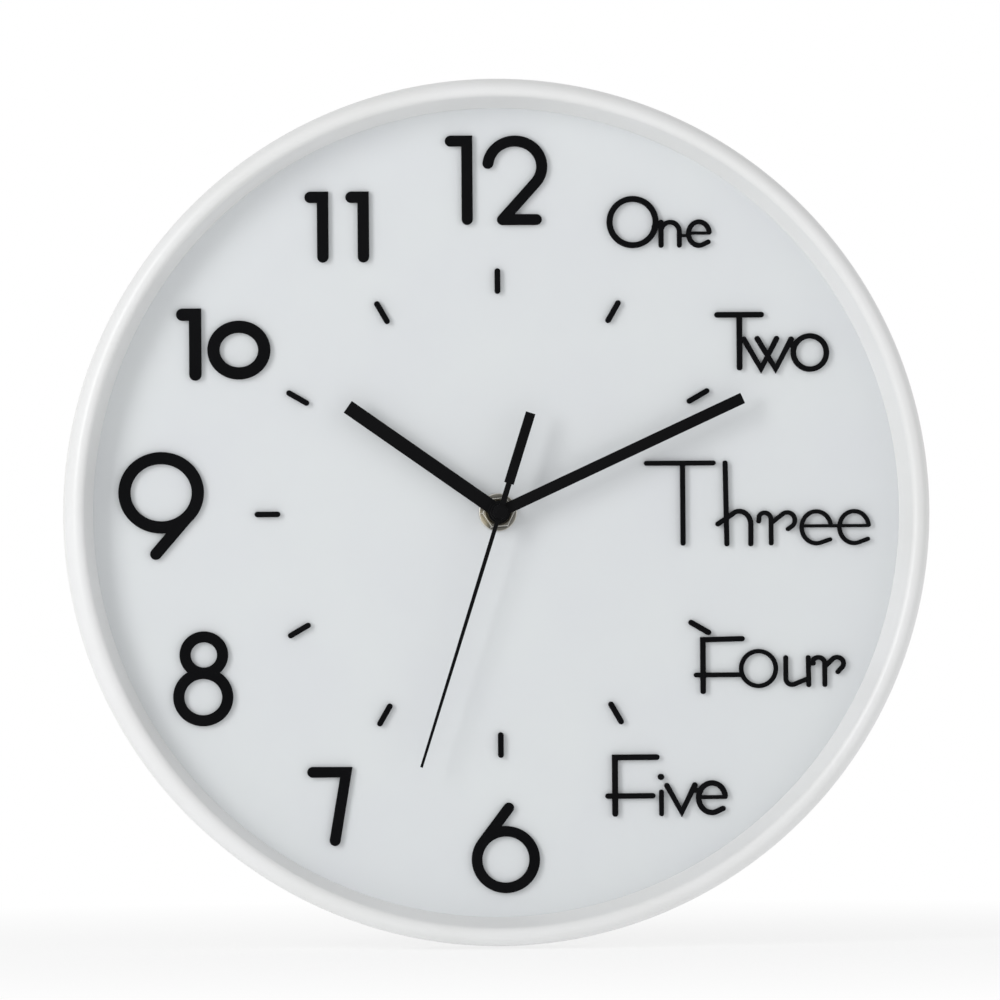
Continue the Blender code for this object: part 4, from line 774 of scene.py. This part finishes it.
# place and height in shares of the circle, stroke width in shares of the height, then each node's strokes
glyphs = [
    (-0.001, 0.826, 0.222, 0.122, {
        "numeral_12_one": [line([(-0.513, 0.44), (-0.329, 0.44), (-0.329, -0.438)])],
        "numeral_12_two": [
            line([*arc(0.209, 0.155, 0.303, 0.284, 173, -37), (0.067, -0.441)]),
            line([(0.067, -0.441), (0.447, -0.441)]),
        ],
    }),
    (-0.399, 0.711, 0.1775, 0.158, {
        "numeral_11_left": [line([(-0.37, 0.417), (-0.196, 0.417), (-0.196, -0.417)])],
        "numeral_11_right": [line([(0.203, 0.417), (0.372, 0.417), (0.372, -0.417)])],
    }),
    (-0.681, 0.421, 0.179, 0.17, {
        "numeral_10_one": [line([(-0.575, 0.415), (-0.397, 0.415), (-0.397, -0.415)])],
        "numeral_10_zero": [ring(0.207, -0.078, 0.352, 0.323)],
    }),
    (-0.839, 0.0215, 0.268, 0.113, {
        "numeral_9": [ring(0.0, 0.124, 0.339, 0.32), line([(0.278, -0.06), (-0.052, -0.442)], 0.95)],
    }),
    (-0.7365, -0.407, 0.237, 0.116, {
        "numeral_8": [ring(0.002, 0.252, 0.196, 0.189), ring(-0.007, -0.188, 0.256, 0.247)],
    }),
    (-0.426, -0.725, 0.197, 0.136, {
        "numeral_7": [line([(-0.214, 0.431), (0.211, 0.431), (0.062, -0.43)])],
    }),
    (0.0105, -0.832, 0.225, 0.116, {
        "numeral_6": [ring(0.0, -0.128, 0.319, 0.312), line([(-0.261, 0.051), (0.036, 0.442)])],
    }),
    (0.4305, 0.721, 0.13, 0.1135, {
        "word_one": [
            ring(-0.707, 0.0, 0.443, 0.443),
            line([(-0.162, -0.006), (-0.162, -0.446)], 0.85),
            line([(-0.29, -0.09), (-0.16, -0.07)], 0.9),
            line([*arc(0.015, -0.184, 0.175, 0.18, 165, 0), (0.19, -0.448)], 0.8),
            line([(0.19, -0.262), (0.38, -0.262)], 0.5),
            line([*arc(0.568, -0.225, 0.2, 0.226, 8, 285), (0.745, -0.385)], 0.82),
            line([(0.38, -0.215), (0.77, -0.215)], 0.52),
        ],
    }),
    (0.671, 0.423, 0.143, 0.0985, {
        "word_two": [
            line([(-0.857, 0.463), (-0.089, 0.463)]),
            line([(-0.47, 0.463), (-0.47, -0.457)]),
            line([(-0.395, 0.04), (-0.095, -0.495), (0.18, 0.046)], 0.95),
            line([(-0.158, 0.046), (0.16, -0.497), (0.435, 0.035)], 0.95),
            line([(0.4, -0.07), (0.52, -0.04)]),
            ring(0.763, -0.2, 0.29, 0.29, 0.95),
        ],
    }),
    (0.649, 0.0195, 0.215, 0.0575, {
        "word_three_t": [
            line([(-1.304, 0.47), (-0.528, 0.47)]),
            line([(-0.885, 0.47), (-0.885, -0.457)]),
        ],
        "word_three_hr": [
            line([(-0.389, 0.469), (-0.375, -0.468)]),
            line([(-0.478, -0.237), *arc(-0.228, -0.247, 0.134, 0.156, 130, 0), (-0.096, -0.47)]),
            line([(-0.002, -0.208), *arc(0.067, -0.192, 0.074, 0.082, 150, 0), (0.142, -0.463)], 0.92),
            line([(0.145, -0.228), *arc(0.331, -0.198, 0.088, 0.09, 130, -50), (0.339, -0.3)], 0.9),
        ],
        "word_three_ee": [
            line([*arc(0.669, -0.283, 0.171, 0.185, 8, 285), (0.828, -0.424)], 0.86),
            line([*arc(1.11, -0.283, 0.171, 0.185, 8, 285), (1.27, -0.42)], 0.86),
            line([(0.505, -0.266), (1.275, -0.266)], 0.66),
        ],
    }),
    (0.678, -0.382, 0.1435, 0.0935, {
        "word_four_fo": [
            line([(-0.514, 0.451), (-1.197, 0.438), (-1.197, -0.458)]),
            line([(-1.316, -0.173), (-0.53, -0.173)], 0.9),
            ring(-0.229, -0.069, 0.302, 0.302, 0.82),
        ],
        "word_four_ur": [
            line([(0.247, 0.117), *arc(0.355, -0.245, 0.108, 0.108, 180, 290), (0.633, -0.25)], 0.87),
            line([(0.64, 0.117), (0.648, -0.358)], 0.87),
            line([(0.65, 0.015), (0.73, 0.015)], 0.87),
            line([*arc(0.818, 0.015, 0.109, 0.102, 180, 0), (0.928, -0.358)], 0.87),
            line([(0.94, -0.035), *arc(1.144, 0.01, 0.113, 0.107, 130, -50), (1.157, -0.137)], 0.87),
        ],
    }),
    (0.4135, -0.68, 0.1535, 0.094, {
        "word_five_f": [
            line([(-0.164, 0.456), (-0.843, 0.456), (-0.843, -0.456)]),
            line([(-0.958, -0.169), (-0.232, -0.169)], 0.95),
        ],
        "word_five_i_stem": [line([(-0.089, -0.107), (-0.089, -0.465)], 0.8)],
        "word_five_i_dot": [line([(-0.097, 0.135), (-0.093, 0.135)], 1.07)],
        "word_five_ve": [
            line([(0.001, -0.006), (0.24, -0.456), (0.456, 0.0)], 0.93),
            line([(0.44, -0.08), (0.55, -0.1)], 0.9),
            line([*arc(0.734, -0.21, 0.217, 0.24, 8, 285), (0.912, -0.385)], 0.93),
            line([(0.53, -0.2), (0.955, -0.2)], 0.68),
        ],
    }),
]


def makeLettering():
    circle = lettering["circle"]
    right, up = lettering["offset"]
    for x, y, heightShare, widthShare, drawn in glyphs:
        place = (x * circle + right, y * circle + up)
        height = heightShare * circle
        width = widthShare * height
        for node, strokes in drawn.items():
            solids = [strokeSolid(f"{node}_visual", stroke, place, height, width) for stroke in strokes]
            finishPiece(mendMesh(unite(*solids)), "letteringPlastic", "case", "lettering_plastic", node)


makeLettering()
print("lettering done")

# Index bars, one at each hour but three
indexBars = {"circle": 81.7, "length": 9.0, "width": 1.95, "bareHour": 3, "offset": (0.42, -0.24)}


def makeIndexBars():
    bars = indexBars
    half = (bars["length"] - bars["width"]) / 2
    stroke = line([(0, bars["circle"] - half), (0, bars["circle"] + half)])
    bar = strokeSolid("hour_bars_visual", stroke, (0, 0), 1.0, bars["width"])
    piece = repeated(bar, 12, "letteringPlastic", barePlace=bars["bareHour"])
    piece.data.transform(Matrix.Translation((*bars["offset"], 0)))
    names = [name for name in nodes if name.startswith("hour_bar_")]
    finishPiece(piece, "letteringPlastic", "case", "lettering_plastic", *sorted(names))


makeIndexBars()
print("index bars done")

# Hands, with the blade's lower face a little above the hub's
pressed = {"edge": 0.1, "blade": 0.6}
hourHand = {**pressed, "length": 64.9, "width": 5.0, "hub": 4.0, "pipe": 2.65, "angle": 305.1}
minuteHand = {**pressed, "length": 94.9, "width": 4.0, "hub": 3.3, "pipe": 1.75, "angle": 65.3}
secondHand = {
    "length": 93.8, "rootWidth": 1.5, "tipWidth": 0.95, "neckWidth": 2.0, "neckLength": 10.5,
    "tailWidth": 3.5, "tailLength": 36.5, "hub": 2.6, "bore": 0.65, "boreDepth": 1.1, "angle": 197.6,
    "edge": 0.06, "blade": 0.4,
}
bladeRise = 0.3


def makeHand(node, hand, outline, bore, body):
    # an upright blade on a pressed hub with a rounded shoulder and a shallow step, turned to its place
    low, high = spanOf(node)
    hub = hand["hub"]
    points = [(0, high), (hub * 0.55, high, 0.15), (hub * 0.62, high - 0.12, 0.1)]
    points += [(hub - 0.05, high - 0.16, 0.3), (hub, low + 0.1, 0.1), (hub - 0.1, low), (0, low)]
    bladeLow = low + bladeRise
    blade = slab(f"{node}_visual", outline, bladeLow, bladeLow + hand["blade"], hand["edge"])
    piece = unite(blade, turned("hub", points, 64))
    subtract(piece, bore)
    piece.data.transform(Matrix.Rotation(-math.radians(hand["angle"]), 4, "Z"))
    finishPiece(piece, "handPaint", body, "hand_paint", node)


def makePipeHand(node, hand, body):
    half = hand["width"] / 2
    outline = [(-half, 0), (half, 0), (half, hand["length"], 0.12), (-half, hand["length"], 0.12)]
    low, high = spanOf(node)
    bore = rod("bore", hand["pipe"], low - 1, high + 1, steps=48)
    makeHand(node, hand, outline, bore, body)


def makeSecondHand():
    hand = secondHand
    low = spanOf("second_hand")[0]
    neck, tail = -hand["neckLength"], -hand["tailLength"]
    corners = [("tipWidth", hand["length"]), ("rootWidth", 0), ("neckWidth", 0)]
    corners += [("neckWidth", neck), ("tailWidth", neck), ("tailWidth", tail)]
    right = [(hand[width] / 2, along) for width, along in corners]
    outline = right + [(-across, along) for across, along in reversed(right)]
    bore = rod("bore", hand["bore"], low - 1, low + hand["boreDepth"], steps=24)
    makeHand("second_hand", hand, outline, bore, "second_arbor")


makePipeHand("hour_hand", hourHand, "hour_arbor")
makePipeHand("minute_hand", minuteHand, "minute_arbor")
makeSecondHand()
print("hands done")

# Nut: a hexagon that tapers to the front, on a round flange, with a chamfered bore
fixingNut = {
    "flange": 6.7, "flangeThickness": 1.0, "flangeRound": 0.3, "base": 6.45, "top": 5.75, "sink": 0.4,
    "bore": 4.15, "chamfer": 0.55, "turn": 4, "arris": 0.16,
}


def makeFixingNut():
    nut = fixingNut
    low, high = spanOf("fixing_nut")
    flange, base, bore, sink = nut["flange"], nut["base"], nut["bore"], nut["sink"]
    flangeTop = low + nut["flangeThickness"]
    points = [(0, flangeTop - 0.1), (base * 0.6, flangeTop), (flange, flangeTop - 0.05, nut["flangeRound"])]
    points += [(flange, low + 0.1), (flange - 0.1, low), (0, low)]
    piece = turned("fixing_nut_visual", points, 96)
    shape = bmesh.new()
    depth = high - flangeTop + sink
    bmesh.ops.create_cone(shape, cap_ends=True, segments=6, radius1=base, radius2=nut["top"], depth=depth)
    spin = Matrix.Rotation(math.radians(nut["turn"] - 30), 4, "Z")
    lift = Matrix.Translation((0, 0, (high + flangeTop - sink) / 2))
    bmesh.ops.transform(shape, matrix=lift @ spin, verts=shape.verts)
    edges = list(shape.edges)
    bmesh.ops.bevel(shape, geom=edges, offset=nut["arris"], segments=2, profile=0.5, affect="EDGES")
    unite(piece, fromBmesh("hexagon", shape))
    mouth = bore + nut["chamfer"]
    cone = [(0, high + 1), (mouth, high + 1), (mouth, high + 0.001), (bore, high - 0.4)]
    cone += [(bore, low - 1), (0, low - 1)]
    subtract(piece, turned("bore", cone, 64))
    finishPiece(piece, "nutNickel", "case", "nut_nickel", "fixing_nut", sharp=25)


# Bushing: rings in place of its thread
threadedBushing = {
    "radius": 4.0, "flange": 5.5, "flangeThickness": 0.8, "bore": 2.65, "chamfer": 0.15, "arris": 0.1,
    "pitch": 0.5, "depth": 0.22,
}


def makeBushing():
    bush = threadedBushing
    low, high = spanOf("threaded_bushing")
    crest, flange, bore, arris, pitch = (bush[key] for key in ("radius", "flange", "bore", "arris", "pitch"))
    flangeTop = low + bush["flangeThickness"]
    root = crest - bush["depth"]
    level = high - bush["chamfer"]
    points = [(bore, level), (bore + bush["chamfer"], high), (root, high)]
    while level > flangeTop + pitch:
        points += [(crest, level - pitch * 0.3), (crest, level - pitch * 0.45), (root, level - pitch * 0.85)]
        level -= pitch
    points += [(root, flangeTop), (flange - arris, flangeTop), (flange, flangeTop - arris)]
    points += [(flange, low + arris), (flange - arris, low), (bore, low)]
    piece = lathe("threaded_bushing_visual", points, 72)
    finishPiece(piece, "bushingBrass", "case", "bushing_brass", "threaded_bushing")


makeFixingNut()
makeBushing()
print("nut and bushing done")

# Rear shell, with its wall ring, keyhole, movement opening, ribs and screw posts
rearShell = {
    "outer": 152.2, "wall": 2.5, "collarEnd": 7.9, "backRounding": 2.2, "ringWidth": 7.0, "rise": 2.0,
    "floor": 2.2, "ledgeRadius": 140.5, "ledge": 2.0, "dialGap": 0.3, "access": 31.0, "accessCorner": 3.0,
    "keyholeRise": 110.0, "keyholeHead": 4.5, "keyholeSlot": 4.5, "keyholeLength": 8.0, "screwCircle": 146.8,
    "counterbore": 2.8, "screwHole": 1.6, "post": 4.0, "seat": 1.2, "steps": 288, "ribs": 12, "ribFrom": 62.0,
    "ribTo": 138.0, "ribWidth": 1.4, "ribRise": 0.9, "frame": 2.2,
}


def makeRearShell():
    shell = rearShell
    outer, wall, rise, ledge = (shell[key] for key in ("outer", "wall", "rise", "ledge"))
    bend, collar, ledgeRadius = shell["backRounding"], shell["collarEnd"], shell["ledgeRadius"]
    back = spanOf("rear_case")[0]
    outside = back + rise
    inside = outside + shell["floor"]
    ledgeTop = dialBack - shell["dialGap"]
    ledgeLow = ledgeTop - ledge
    inner = outer - wall
    foot = outer - bend
    footInner = foot - shell["ringWidth"]
    # the profile starts on the outside and is turned as a closed loop that passes over the axis
    points = [(outer, collar - 0.25), (outer, back + bend)]
    points += ellipsePoints(foot, back + bend, bend, bend, 0, -90, 8)[1:]
    wallRing = [(foot - 0.5, back), (footInner, back, 0.5), (footInner - rise, outside, 0.8)]
    points += roundCorners([*wallRing, (footInner - 8, outside)], closed=False) + [(0, outside), (0, inside)]
    bowl = [(100, inside), (inner - wall, inside, 1.5), (inner, inside + wall, 1.5), (inner, ledgeLow)]
    points += roundCorners(bowl, closed=False)
    points += [(ledgeRadius, ledgeLow), (ledgeRadius, ledgeTop), (inner, ledgeTop)]
    points += [(inner, collar - 0.2), (inner + 0.2, collar), (outer - 0.25, collar)]
    piece = lathe("rear_shell_visual", points, shell["steps"])
    # low ribs on the back: a ring, spokes between the keyhole and the screws, and a frame round the opening,
    # each with its own levels so that no two of their faces lie in one plane
    access, corner, middle = shell["access"], shell["accessCorner"], shell["ribFrom"]
    top = outside - shell["ribRise"]
    half = shell["ribWidth"] / 2
    ribRing = [(middle + half, top - 0.1, 0.3), (middle + half, outside + 0.55)]
    ribRing += [(middle - half, outside + 0.55), (middle - half, top - 0.1, 0.3)]
    ribRing = lathe("ring", roundCorners(ribRing, steps=2), 144, offset=0.37)
    spoke = slab("spoke", rectangle(-half, middle, half, shell["ribTo"], 0.5), top, outside + 0.4, 0.35, 2)
    reach = access + shell["frame"]
    border = rectangle(-reach, -reach, reach, reach, corner + 1)
    border = slab("border", border, top - 0.2, outside + 0.7, 0.3, 2)
    unite(piece, ribRing, border)
    unite(piece, repeated(spoke, shell["ribs"], "shellPlastic", 15))
    opening = slab("access", rectangle(-access, -access, access, access, corner), outside - 2, inside + 1)
    head = rod("head", shell["keyholeHead"], outside - 1, inside + 1, (0, shell["keyholeRise"]), 48)
    slotLine = [(0, shell["keyholeRise"]), (0, shell["keyholeRise"] + shell["keyholeLength"])]
    slot = strokeOutline(slotLine, shell["keyholeSlot"], 13)
    subtract(piece, opening, head, loft("slot", [([slot], outside - 1), ([slot], inside + 1)]))
    place = (0, shell["screwCircle"])
    post = rod("post", shell["post"], back + rise / 2, ledgeTop - ledge / 2, place, 40)
    unite(piece, repeated(post, 3, "shellPlastic"))
    counterbore = rod("counterbore", shell["counterbore"], back - 1, shell["seat"], place, 40)
    hole = rod("hole", shell["screwHole"], shell["seat"] - 1, ledgeTop + 1, place, 24)
    for tool in (counterbore, hole):
        subtract(piece, repeated(tool, 3, "shellPlastic"))
    finishPiece(piece, "shellPlastic", "case", "shell_plastic", "rear_case")


makeRearShell()
print("rear shell done")

# Case screws: pan heads with a cross recess, and rings in place of their thread
caseScrew = {
    "circle": 146.8, "head": 2.5, "headHeight": 1.8, "shank": 1.3, "pitch": 0.6, "threadDepth": 0.25,
    "point": 1.2, "slotWidth": 0.7, "slotLength": 3.0, "slotDepth": 0.8,
}


def makeCaseScrews():
    screw = caseScrew
    low, high = spanOf("case_screw_1")
    head, shank, circle = screw["head"], screw["shank"], screw["circle"]
    headTop = low + screw["headHeight"]
    root = shank - screw["threadDepth"]
    level = high - screw["point"]
    points = [(0, high), (0.35, high - 0.1), (root, level)]
    while level > headTop + 1.0:
        points += [(shank, level - screw["pitch"] / 2), (root, level - screw["pitch"])]
        level -= screw["pitch"]
    points += [(shank - 0.2, headTop), (head - 0.1, headTop), (head, headTop - 0.1)]
    points += ellipsePoints(0, low + 1.0, head, 1.0, 0, -80, 8) + [(0, low)]
    piece = turned("case_screws_visual", points, 32, place=(0, circle))
    half = screw["slotWidth"] / 2
    reach = screw["slotLength"] / 2
    for across, up in ((reach, half), (half, reach)):
        corners = rectangle(-across, circle - up, across, circle + up)
        subtract(piece, slab("slot", corners, low - 1, low + screw["slotDepth"]))
    piece = repeated(piece, 3, "screwSteel")
    names = [f"case_screw_{number}" for number in (1, 2, 3)]
    finishPiece(piece, "screwSteel", "case", "screw_steel", *names, sharp=30)


makeCaseScrews()
print("case screws done")

# Movement and its inside: merged copies of the nodes with softened edges
softened = {
    "movement_front_case": (0.45, "movementPlastic", "case", "movement_plastic"),
    "positive_contact": (0.08, "contactNickel", "case", "contact_nickel"),
    "negative_contact": (0.08, "contactNickel", "case", "contact_nickel"),
    "circuit_board": (0.1, "boardLaminate", "case", "board_laminate"),
    "stator": (0.1, "statorSteel", "case", "stator_steel"),
    "coil": (0.12, "coilCopper", "case", "coil_copper"),
    "rotor": (0.08, "rotorMagnet", "rotor_arbor", "rotor_magnet"),
    "fifth_wheel": (0.05, "gearPlastic", "fifth_arbor", "gear_plastic"),
    "second_wheel": (0.05, "gearPlastic", "second_arbor", "gear_plastic"),
    "third_wheel": (0.05, "gearPlastic", "third_arbor", "gear_plastic"),
    "centre_wheel": (0.05, "gearBrass", "centre_arbor", "gear_brass"),
    "cannon_pinion": (0.05, "gearBrass", "minute_arbor", "gear_brass"),
    "minute_wheel": (0.05, "gearPlastic", "minute_wheel_arbor", "gear_plastic"),
    "hour_wheel": (0.05, "gearPlastic", "hour_arbor", "gear_plastic"),
    "setting_knob": (0.12, "knobPlastic", "knob_arbor", "knob_plastic"),
}
for node, (width, finish, body, slotName) in softened.items():
    softenedCopy(node, f"{node}_visual", width, finish, body)

# Rear cover: a moulded lid with a rim round the knob, a recessed panel, bearing bumps and two catches
rearCover = {
    "corner": 1.6, "lowCorner": 0.6, "edge": 0.35, "panel": (-4.0, 6.0, 24.0, 25.0), "panelDepth": 0.35,
    "collar": 5.25, "collarWall": 0.55, "collarRise": 0.5, "shaftHole": 1.4, "bump": 1.6, "bumpRise": 0.45,
    "catch": (4.0, 1.6), "catchAt": 9.0, "catchRise": 0.5, "catchGap": 0.4, "sink": 0.5,
}


def makeRearCover():
    cover = rearCover
    low, high = (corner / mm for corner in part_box("movement_rear_cover"))
    left, right, bottom, top = low.x, high.x, low.z, high.z
    back, front = spanOf("movement_rear_cover")
    inside = back + cover["sink"]
    gap, fillet = cover["catchGap"], cover["lowCorner"]
    outline = [(left, bottom, fillet), (right, bottom, fillet)]
    outline += [(right, top, cover["corner"]), (left, top, cover["corner"])]
    piece = slab("movement_rear_cover_visual", outline, back, front, cover["edge"])
    knob = middleOf("setting_knob")
    collar = rod("collar", cover["collar"], back - cover["collarRise"], inside, knob, 56, 0.15)
    subtract(collar, rod("well", cover["collar"] - cover["collarWall"], back - 2, back + 1, knob, 56))
    raised = []
    for wheel in ("second_wheel", "third_wheel", "fifth_wheel", "rotor"):
        raised.append(rod("bump", cover["bump"], back - cover["bumpRise"], inside, middleOf(wheel), 32, 0.3))
    across, up = cover["catch"]
    for side in (left + cover["catchAt"], right - cover["catchAt"]):
        catch = rectangle(side - across / 2, top - up - gap, side + across / 2, top - gap, 0.3)
        raised.append(slab("catch", catch, back - cover["catchRise"], inside, 0.2))
    unite(piece, collar)
    unite(piece, *raised)
    subtract(piece, slab("panel", rectangle(*cover["panel"], 1), back - 1, back + cover["panelDepth"]))
    subtract(piece, rod("shaftHole", cover["shaftHole"], back - 1, front + 1, knob, 24))
    mendMesh(piece, 0.004)
    finishPiece(piece, "movementPlastic", "case", "movement_plastic", "movement_rear_cover")


# AA cell: a steel can with a raised contact, in a printed sleeve that folds over both ends
aaCell = {
    "sleeve": 7.25, "wall": 0.14, "lip": 0.9, "half": 25.25, "nub": 2.75, "nubRise": 1.0, "gap": 0.02,
    "groove": (4.5, 5.4), "grooveDepth": 0.25, "round": 0.5,
}


def makeCell():
    cell = aaCell
    radius, wall, end, bend = cell["sleeve"], cell["wall"], cell["half"], cell["round"]
    low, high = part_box("battery")
    middle = (low + high) / 2 / mm
    inside = radius - wall
    can = inside - cell["gap"]
    lip = radius - cell["lip"]
    shoulder = end - cell["nubRise"]
    grooveIn, grooveOut = cell["groove"]
    grooveLow = shoulder - 0.1 - cell["grooveDepth"]
    profile = [(0, end), (cell["nub"], end, 0.35), (cell["nub"], shoulder - 0.1, 0.2)]
    profile += [(grooveIn - 0.3, shoulder - 0.1), (grooveIn, grooveLow), (grooveOut, grooveLow)]
    profile += [(grooveOut + 0.3, shoulder - 0.2), (can, shoulder - 0.2, bend), (can, 0.25 - end, bend)]
    profile += [(5.6, 0.25 - end), (5.2, -end, 0.2), (0, -end)]
    foot = cell["gap"] - end
    sleeve = [(radius, shoulder, bend), (radius, foot, bend), (lip, foot), (lip, foot + wall)]
    sleeve += [(inside, foot + wall, 0.4), (inside, shoulder - wall, 0.4)]
    sleeve += [(lip, shoulder - wall), (lip, shoulder)]
    canPiece = turned("cell_can_visual", profile, 72)
    sleevePiece = lathe("battery_visual", roundCorners(sleeve), 72)
    lay = Matrix.Translation(middle.xzy * Vector((1, 1, -1))) @ Matrix.Rotation(math.radians(-90), 4, "Y")
    for piece in (canPiece, sleevePiece):
        piece.data.transform(lay)
    finishPiece(canPiece, "contactNickel", "case", "contact_nickel")
    finishPiece(sleevePiece, "cellSleeve", "case", "cell_sleeve", "battery")


makeRearCover()
makeCell()
print("movement done")

# Stage, light and camera
stage = {
    "colour": (0.9, 0.9, 0.9, 1), "floorGap": 1.0, "size": 30.0, "nearWhite": 0.75, "fadeFrom": 0.17,
    "fadeTo": 0.5, "bounce": 0.28, "ambient": 0.55,
}
lamps = {
    "key": {"place": (-1.75, -1.5, 0.75), "size": (0.7, 1.7), "power": 26.5},
    "fill": {"place": (1.9, -1.4, 0.3), "size": (1.4, 1.4), "power": 6.5},
}


def seenDirectly(tree):
    # true for what the camera sees itself, in a mirror or through glass
    path = tree.nodes.new("ShaderNodeLightPath").outputs
    direct = mathNode(tree, "MAXIMUM", path["Is Camera Ray"], path["Is Glossy Ray"])
    return mathNode(tree, "MAXIMUM", direct, path["Is Transmission Ray"])


def makeFloor():
    material = bpy.data.materials.new("studioFloor")
    material.use_nodes = True
    tree = material.node_tree
    inputs = {"Base Color": stage["colour"], "Roughness": 0.9, "Specular IOR Level": 0.1}
    surface = plug(tree, tree.nodes["Principled BSDF"], inputs).outputs["BSDF"]
    # the floor shows whiter than it is lit, wholly white away from the clock, so only the soft shadow is left
    reach = addNode(tree, "ShaderNodeVectorMath", {0: objectSpace(tree)}, "Value", operation="LENGTH")
    fade = mapTo(tree, reach, stage["nearWhite"], 1.0, stage["fadeFrom"], stage["fadeTo"])
    direct = seenDirectly(tree)
    white = addNode(tree, "ShaderNodeEmission", {"Strength": 1.0})
    share = mathNode(tree, "MULTIPLY", direct, fade)
    mixed = addNode(tree, "ShaderNodeMixShader", {"Fac": share, 1: surface, 2: white})
    # and it throws a little more light up at the clock, as a lit white table does
    bounce = mathNode(tree, "MULTIPLY", mathNode(tree, "SUBTRACT", 1.0, direct), stage["bounce"])
    glow = addNode(tree, "ShaderNodeEmission", {"Strength": bounce})
    both = addNode(tree, "ShaderNodeAddShader", {0: mixed, 1: glow})
    plug(tree, tree.nodes["Material Output"], {"Surface": both})
    half = stage["size"] / 2
    level = cadLow.z - stage["floorGap"] * mm
    corners = [(half * x, half * y, level) for x, y in ((-1, -1), (1, -1), (1, 1), (-1, 1))]
    mesh = bpy.data.meshes.new("floor")
    mesh.from_pydata(corners, [], [(0, 1, 2, 3)])
    floor = newObject("floor", mesh)
    mesh.materials.append(material)


def makeWorld():
    world = bpy.data.worlds.new("studio")
    bpy.context.scene.world = world
    world.use_nodes = True
    tree = world.node_tree
    level = mathNode(tree, "MULTIPLY", seenDirectly(tree), 1.0 - stage["ambient"])
    inputs = {"Color": (1, 1, 1, 1), "Strength": mathNode(tree, "ADD", level, stage["ambient"])}
    plug(tree, tree.nodes["Background"], inputs)


def makeLamps():
    for name, lamp in lamps.items():
        light = bpy.data.lights.new(name, "AREA")
        light.shape = "RECTANGLE"
        light.size, light.size_y = lamp["size"]
        light.energy = lamp["power"]
        holder = newObject(name, light)
        holder.location = lamp["place"]
        holder.rotation_euler = (-Vector(lamp["place"])).to_track_quat("-Z", "Y").to_euler()


# the photograph was taken from a little left of and below the hands' axis
photoCamera = {
    "left": 0.086, "below": 0.0117, "distance": 2.9, "roll": 0.426, "target": (0.00142, -0.00015, 0.00443),
    "lens": 295.67,
}


def makeCamera():
    view = photoCamera
    eye = Vector((-view["left"], -1.0, -view["below"])).normalized() * view["distance"]
    forward = (Vector(view["target"]) - eye).normalized()
    right = forward.cross(Vector((0, 0, 1))).normalized()
    up = right.cross(forward)
    roll = math.radians(view["roll"])
    across = right * math.cos(roll) - up * math.sin(roll)
    above = right * math.sin(roll) + up * math.cos(roll)
    turn = Matrix((across, above, -forward)).transposed()
    data = bpy.data.cameras.new("photoCamera")
    data.sensor_width = 36
    data.lens = view["lens"]
    data.clip_end = 100
    camera = newObject("photoCamera", data)
    camera.matrix_world = Matrix.Translation(eye) @ turn.to_4x4()
    bpy.context.scene.camera = camera


makeFloor()
makeWorld()
makeLamps()
makeCamera()
bpy.context.scene.view_settings.view_transform = "Standard"
print("stage, lamps and camera done")
